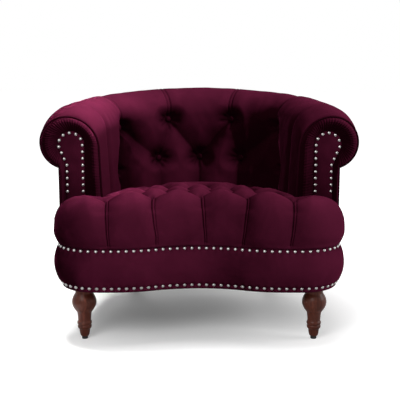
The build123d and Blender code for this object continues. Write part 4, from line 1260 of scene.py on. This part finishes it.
# A darker copy of the plum velvet for the welt: painted shade
welt_velvet_with_painted_shade = velvet_material(
    "plum welt velvet with painted shade", pile, dark=(0.016, 0.0016, 0.005), light=(0.03, 0.003, 0.009), patch=30
)
figure = grain_group()
turned_wood = wood_material(
    "stained turned wood",
    figure,
    dark=(0.055, 0.0115, 0.006),
    light=(0.125, 0.03, 0.0165),
    lines=60,
    rough=(0.28, 0.42),
    shine=0.2,
)
frame_wood = wood_material(
    "sawn frame wood",
    figure,
    dark=(0.42, 0.27, 0.14),
    light=(0.6, 0.43, 0.25),
    lines=35,
    rough=(0.6, 0.8),
    shine=0.3,
)
wear = tarnish_group()
nickel = worn_material(
    "polished nickel",
    wear,
    dark=(0.36, 0.35, 0.34),
    light=(0.52, 0.51, 0.5),
    scale=300,
    metal=1.0,
    rough=(0.22, 0.36),
)
steel = worn_material(
    "zinc plated steel",
    wear,
    dark=(0.4, 0.4, 0.4),
    light=(0.55, 0.55, 0.54),
    scale=120,
    metal=1.0,
    rough=(0.35, 0.5),
)
nylon = worn_material(
    "black nylon",
    wear,
    dark=(0.008, 0.008, 0.008),
    light=(0.018, 0.018, 0.018),
    scale=200,
    metal=0.0,
    rough=(0.45, 0.6),
)
black_cloth = cloth_material("black dust cloth", (0.006, 0.006, 0.006), (0.02, 0.02, 0.02), 900)
jute = cloth_material("jute webbing", (0.2, 0.13, 0.06), (0.36, 0.25, 0.13), 500)

# Walls, seat, band and facings
wall_piece("back_padding", "inside_back", -q_pleat, q_pleat, 280, velvet)
seat_cushion(velvet)
front_band(velvet)
outside_panel("outside_back_cover", "outside_back", -q_pleat, q_pleat, 220, velvet)
for side, hand in ((1, "right"), (-1, "left")):
    pleat, seam, end = side * q_pleat, side * q_seam, side * q_face
    wall_piece(hand + "_arm_padding", hand + "_inside_arm", pleat, seam, 100, velvet)
    wall_piece(hand + "_arm_border", hand + "_arm_front_border", seam, end, 60, velvet)
    outside_panel(hand + "_outside_arm_cover", hand + "_outside_arm", pleat, end, 90, velvet)
    facing_border(hand, side, velvet)
    facing_center(hand, side, velvet)
    facing_welt(hand, side, welt_velvet_with_painted_shade)
    turned_leg(hand, turned_wood)
    raked_leg(hand, turned_wood)
    name, node = hand + "_facing_nails", hand + "_arm_nailheads"
    repeated(name, node, nickel, facing_nail_places(side), nail_head)
for row, nail_z in (("upper", upper_nail_z), ("lower", lower_nail_z)):
    name, node = row + "_nails", row + "_nailheads"
    repeated(name, node, nickel, band_nail_places(nail_z), nail_head)
for name, node, places in (
    ("seat_covered_buttons", "seat_buttons", seat_button_places()),
    ("wall_covered_buttons", "back_buttons", wall_button_places()),
):
    # Covered buttons get painted shade, as if sunk in their hollows
    repeated(name, node, velvet, places, button_head, button_shade)

# The nodes that show as they are
kept_finish = {
    "frame_wood": frame_wood,
    "steel": steel,
    "glide": nylon,
    "black_cloth": black_cloth,
    "webbing": jute,
}
for part in frame["record"]["subparts"]:
    node, slot = frame["nodes"][part["node"]], part["material_slot"]
    if slot in kept_finish:
        node.data.materials.clear()
        node.data.materials.append(kept_finish[slot])


# Floor, light and camera
def pale_floor():
    """Floor that glows to white away from the chair; the glow is dimmest in a disc shaped and placed
    like the chair's shadow, a painted shadow over the cast one.
    """
    # Painted shadow: middle and shape of the dim disc under the chair, where its glow starts and ends,
    # and its least glow
    shadow_middle, shadow_shape = (-0.1, 0.03, 0), (0.8, 1, 1)
    shadow_start, shadow_end, shadow_glow = 0.1, 1.08, 0.12
    bm = bmesh.new()
    bmesh.ops.create_grid(bm, x_segments=1, y_segments=1, size=12)
    mesh = bpy.data.meshes.new("floor")
    bm.to_mesh(mesh)
    bm.free()
    floor = bpy.data.objects.new("floor", mesh)
    bpy.context.scene.collection.objects.link(floor)
    material, nodes, links, shader = new_material("pale floor")
    shader.inputs["Base Color"].default_value = (0.8, 0.8, 0.8, 1)
    shader.inputs["Roughness"].default_value = 0.9
    shader.inputs["Specular IOR Level"].default_value = 0.0
    place = nodes.new("ShaderNodeTexCoord")
    wide = nodes.new("ShaderNodeVectorMath")
    wide.operation = "MULTIPLY"
    wide.inputs[1].default_value = shadow_shape
    links.new(place.outputs["Object"], wide.inputs[0])
    away = nodes.new("ShaderNodeVectorMath")
    away.operation = "DISTANCE"
    away.inputs[1].default_value = shadow_middle
    links.new(wide.outputs["Vector"], away.inputs[0])
    distance = away.outputs["Value"]
    paling = ranged(nodes, links, distance, shadow_glow, 1.0, shadow_start, shadow_end)
    paling.interpolation_type = "SMOOTHSTEP"
    glow = nodes.new("ShaderNodeEmission")
    links.new(paling.outputs["Result"], glow.inputs["Strength"])
    both = nodes.new("ShaderNodeAddShader")
    links.new(shader.outputs["BSDF"], both.inputs[0])
    links.new(glow.outputs["Emission"], both.inputs[1])
    path = nodes.new("ShaderNodeLightPath")
    seen = nodes.new("ShaderNodeMixShader")
    links.new(path.outputs["Is Camera Ray"], seen.inputs["Fac"])
    links.new(shader.outputs["BSDF"], seen.inputs[1])
    links.new(both.outputs["Shader"], seen.inputs[2])
    links.new(seen.outputs["Shader"], nodes["Material Output"].inputs["Surface"])
    mesh.materials.append(material)


def white_studio():
    """World that is white to the eye and in reflections, and lights the chair only a little."""
    world = bpy.data.worlds.new("white studio")
    bpy.context.scene.world = world
    world.use_nodes = True
    nodes, links = world.node_tree.nodes, world.node_tree.links
    path = nodes.new("ShaderNodeLightPath")
    seen = nodes.new("ShaderNodeMath")
    seen.operation = "MAXIMUM"
    links.new(path.outputs["Is Camera Ray"], seen.inputs[0])
    links.new(path.outputs["Is Glossy Ray"], seen.inputs[1])
    strength = ranged(nodes, links, seen.outputs["Value"], 0.1, 1.0)
    links.new(strength.outputs["Result"], nodes["Background"].inputs["Strength"])
    nodes["Background"].inputs["Color"].default_value = (1, 1, 1, 1)


def soft_lamp(name, place, target, size, power, spread=180):
    """Square lamp at a place in metres, turned to its target."""
    lamp = bpy.data.lights.new(name, "AREA")
    lamp.size = size
    lamp.energy = power
    lamp.spread = math.radians(spread)
    holder = bpy.data.objects.new(name, lamp)
    holder.location = place
    holder.rotation_euler = (Vector(target) - Vector(place)).to_track_quat("-Z", "Y").to_euler()
    bpy.context.scene.collection.objects.link(holder)


def camera(place, look_down, focal_length):
    """Camera that looks along Y, and a little down."""
    lens = bpy.data.cameras.new("camera")
    lens.sensor_width = 36
    lens.lens = focal_length
    holder = bpy.data.objects.new("camera", lens)
    holder.location = place
    holder.rotation_euler = (math.radians(90 - look_down), 0, 0)
    bpy.context.scene.collection.objects.link(holder)
    bpy.context.scene.camera = holder


pale_floor()
white_studio()
chair_middle = (0, -0.05, 0.45)
soft_lamp("top", (0.1, 0, 2.9), chair_middle, size=1.4, power=48)
soft_lamp("front", (-1.0, -2.4, 2.0), chair_middle, size=1.4, power=37)
soft_lamp("side", (2.8, -0.4, 1.2), chair_middle, size=1.4, power=26)
soft_lamp("rim", (-0.64, 0.0, 2.3), (-0.53, -0.1, 0.7), size=0.5, power=2.7, spread=26)
soft_lamp("back", (-0.5, 2.7, 1.6), (0, 0.2, 0.4), size=1.6, power=30)
camera_ahead = 2820.0
camera((0.0026, (front_y - camera_ahead) * MM, 0.986), look_down=10.33, focal_length=83.304)
bpy.context.scene.view_settings.view_transform = "Standard"
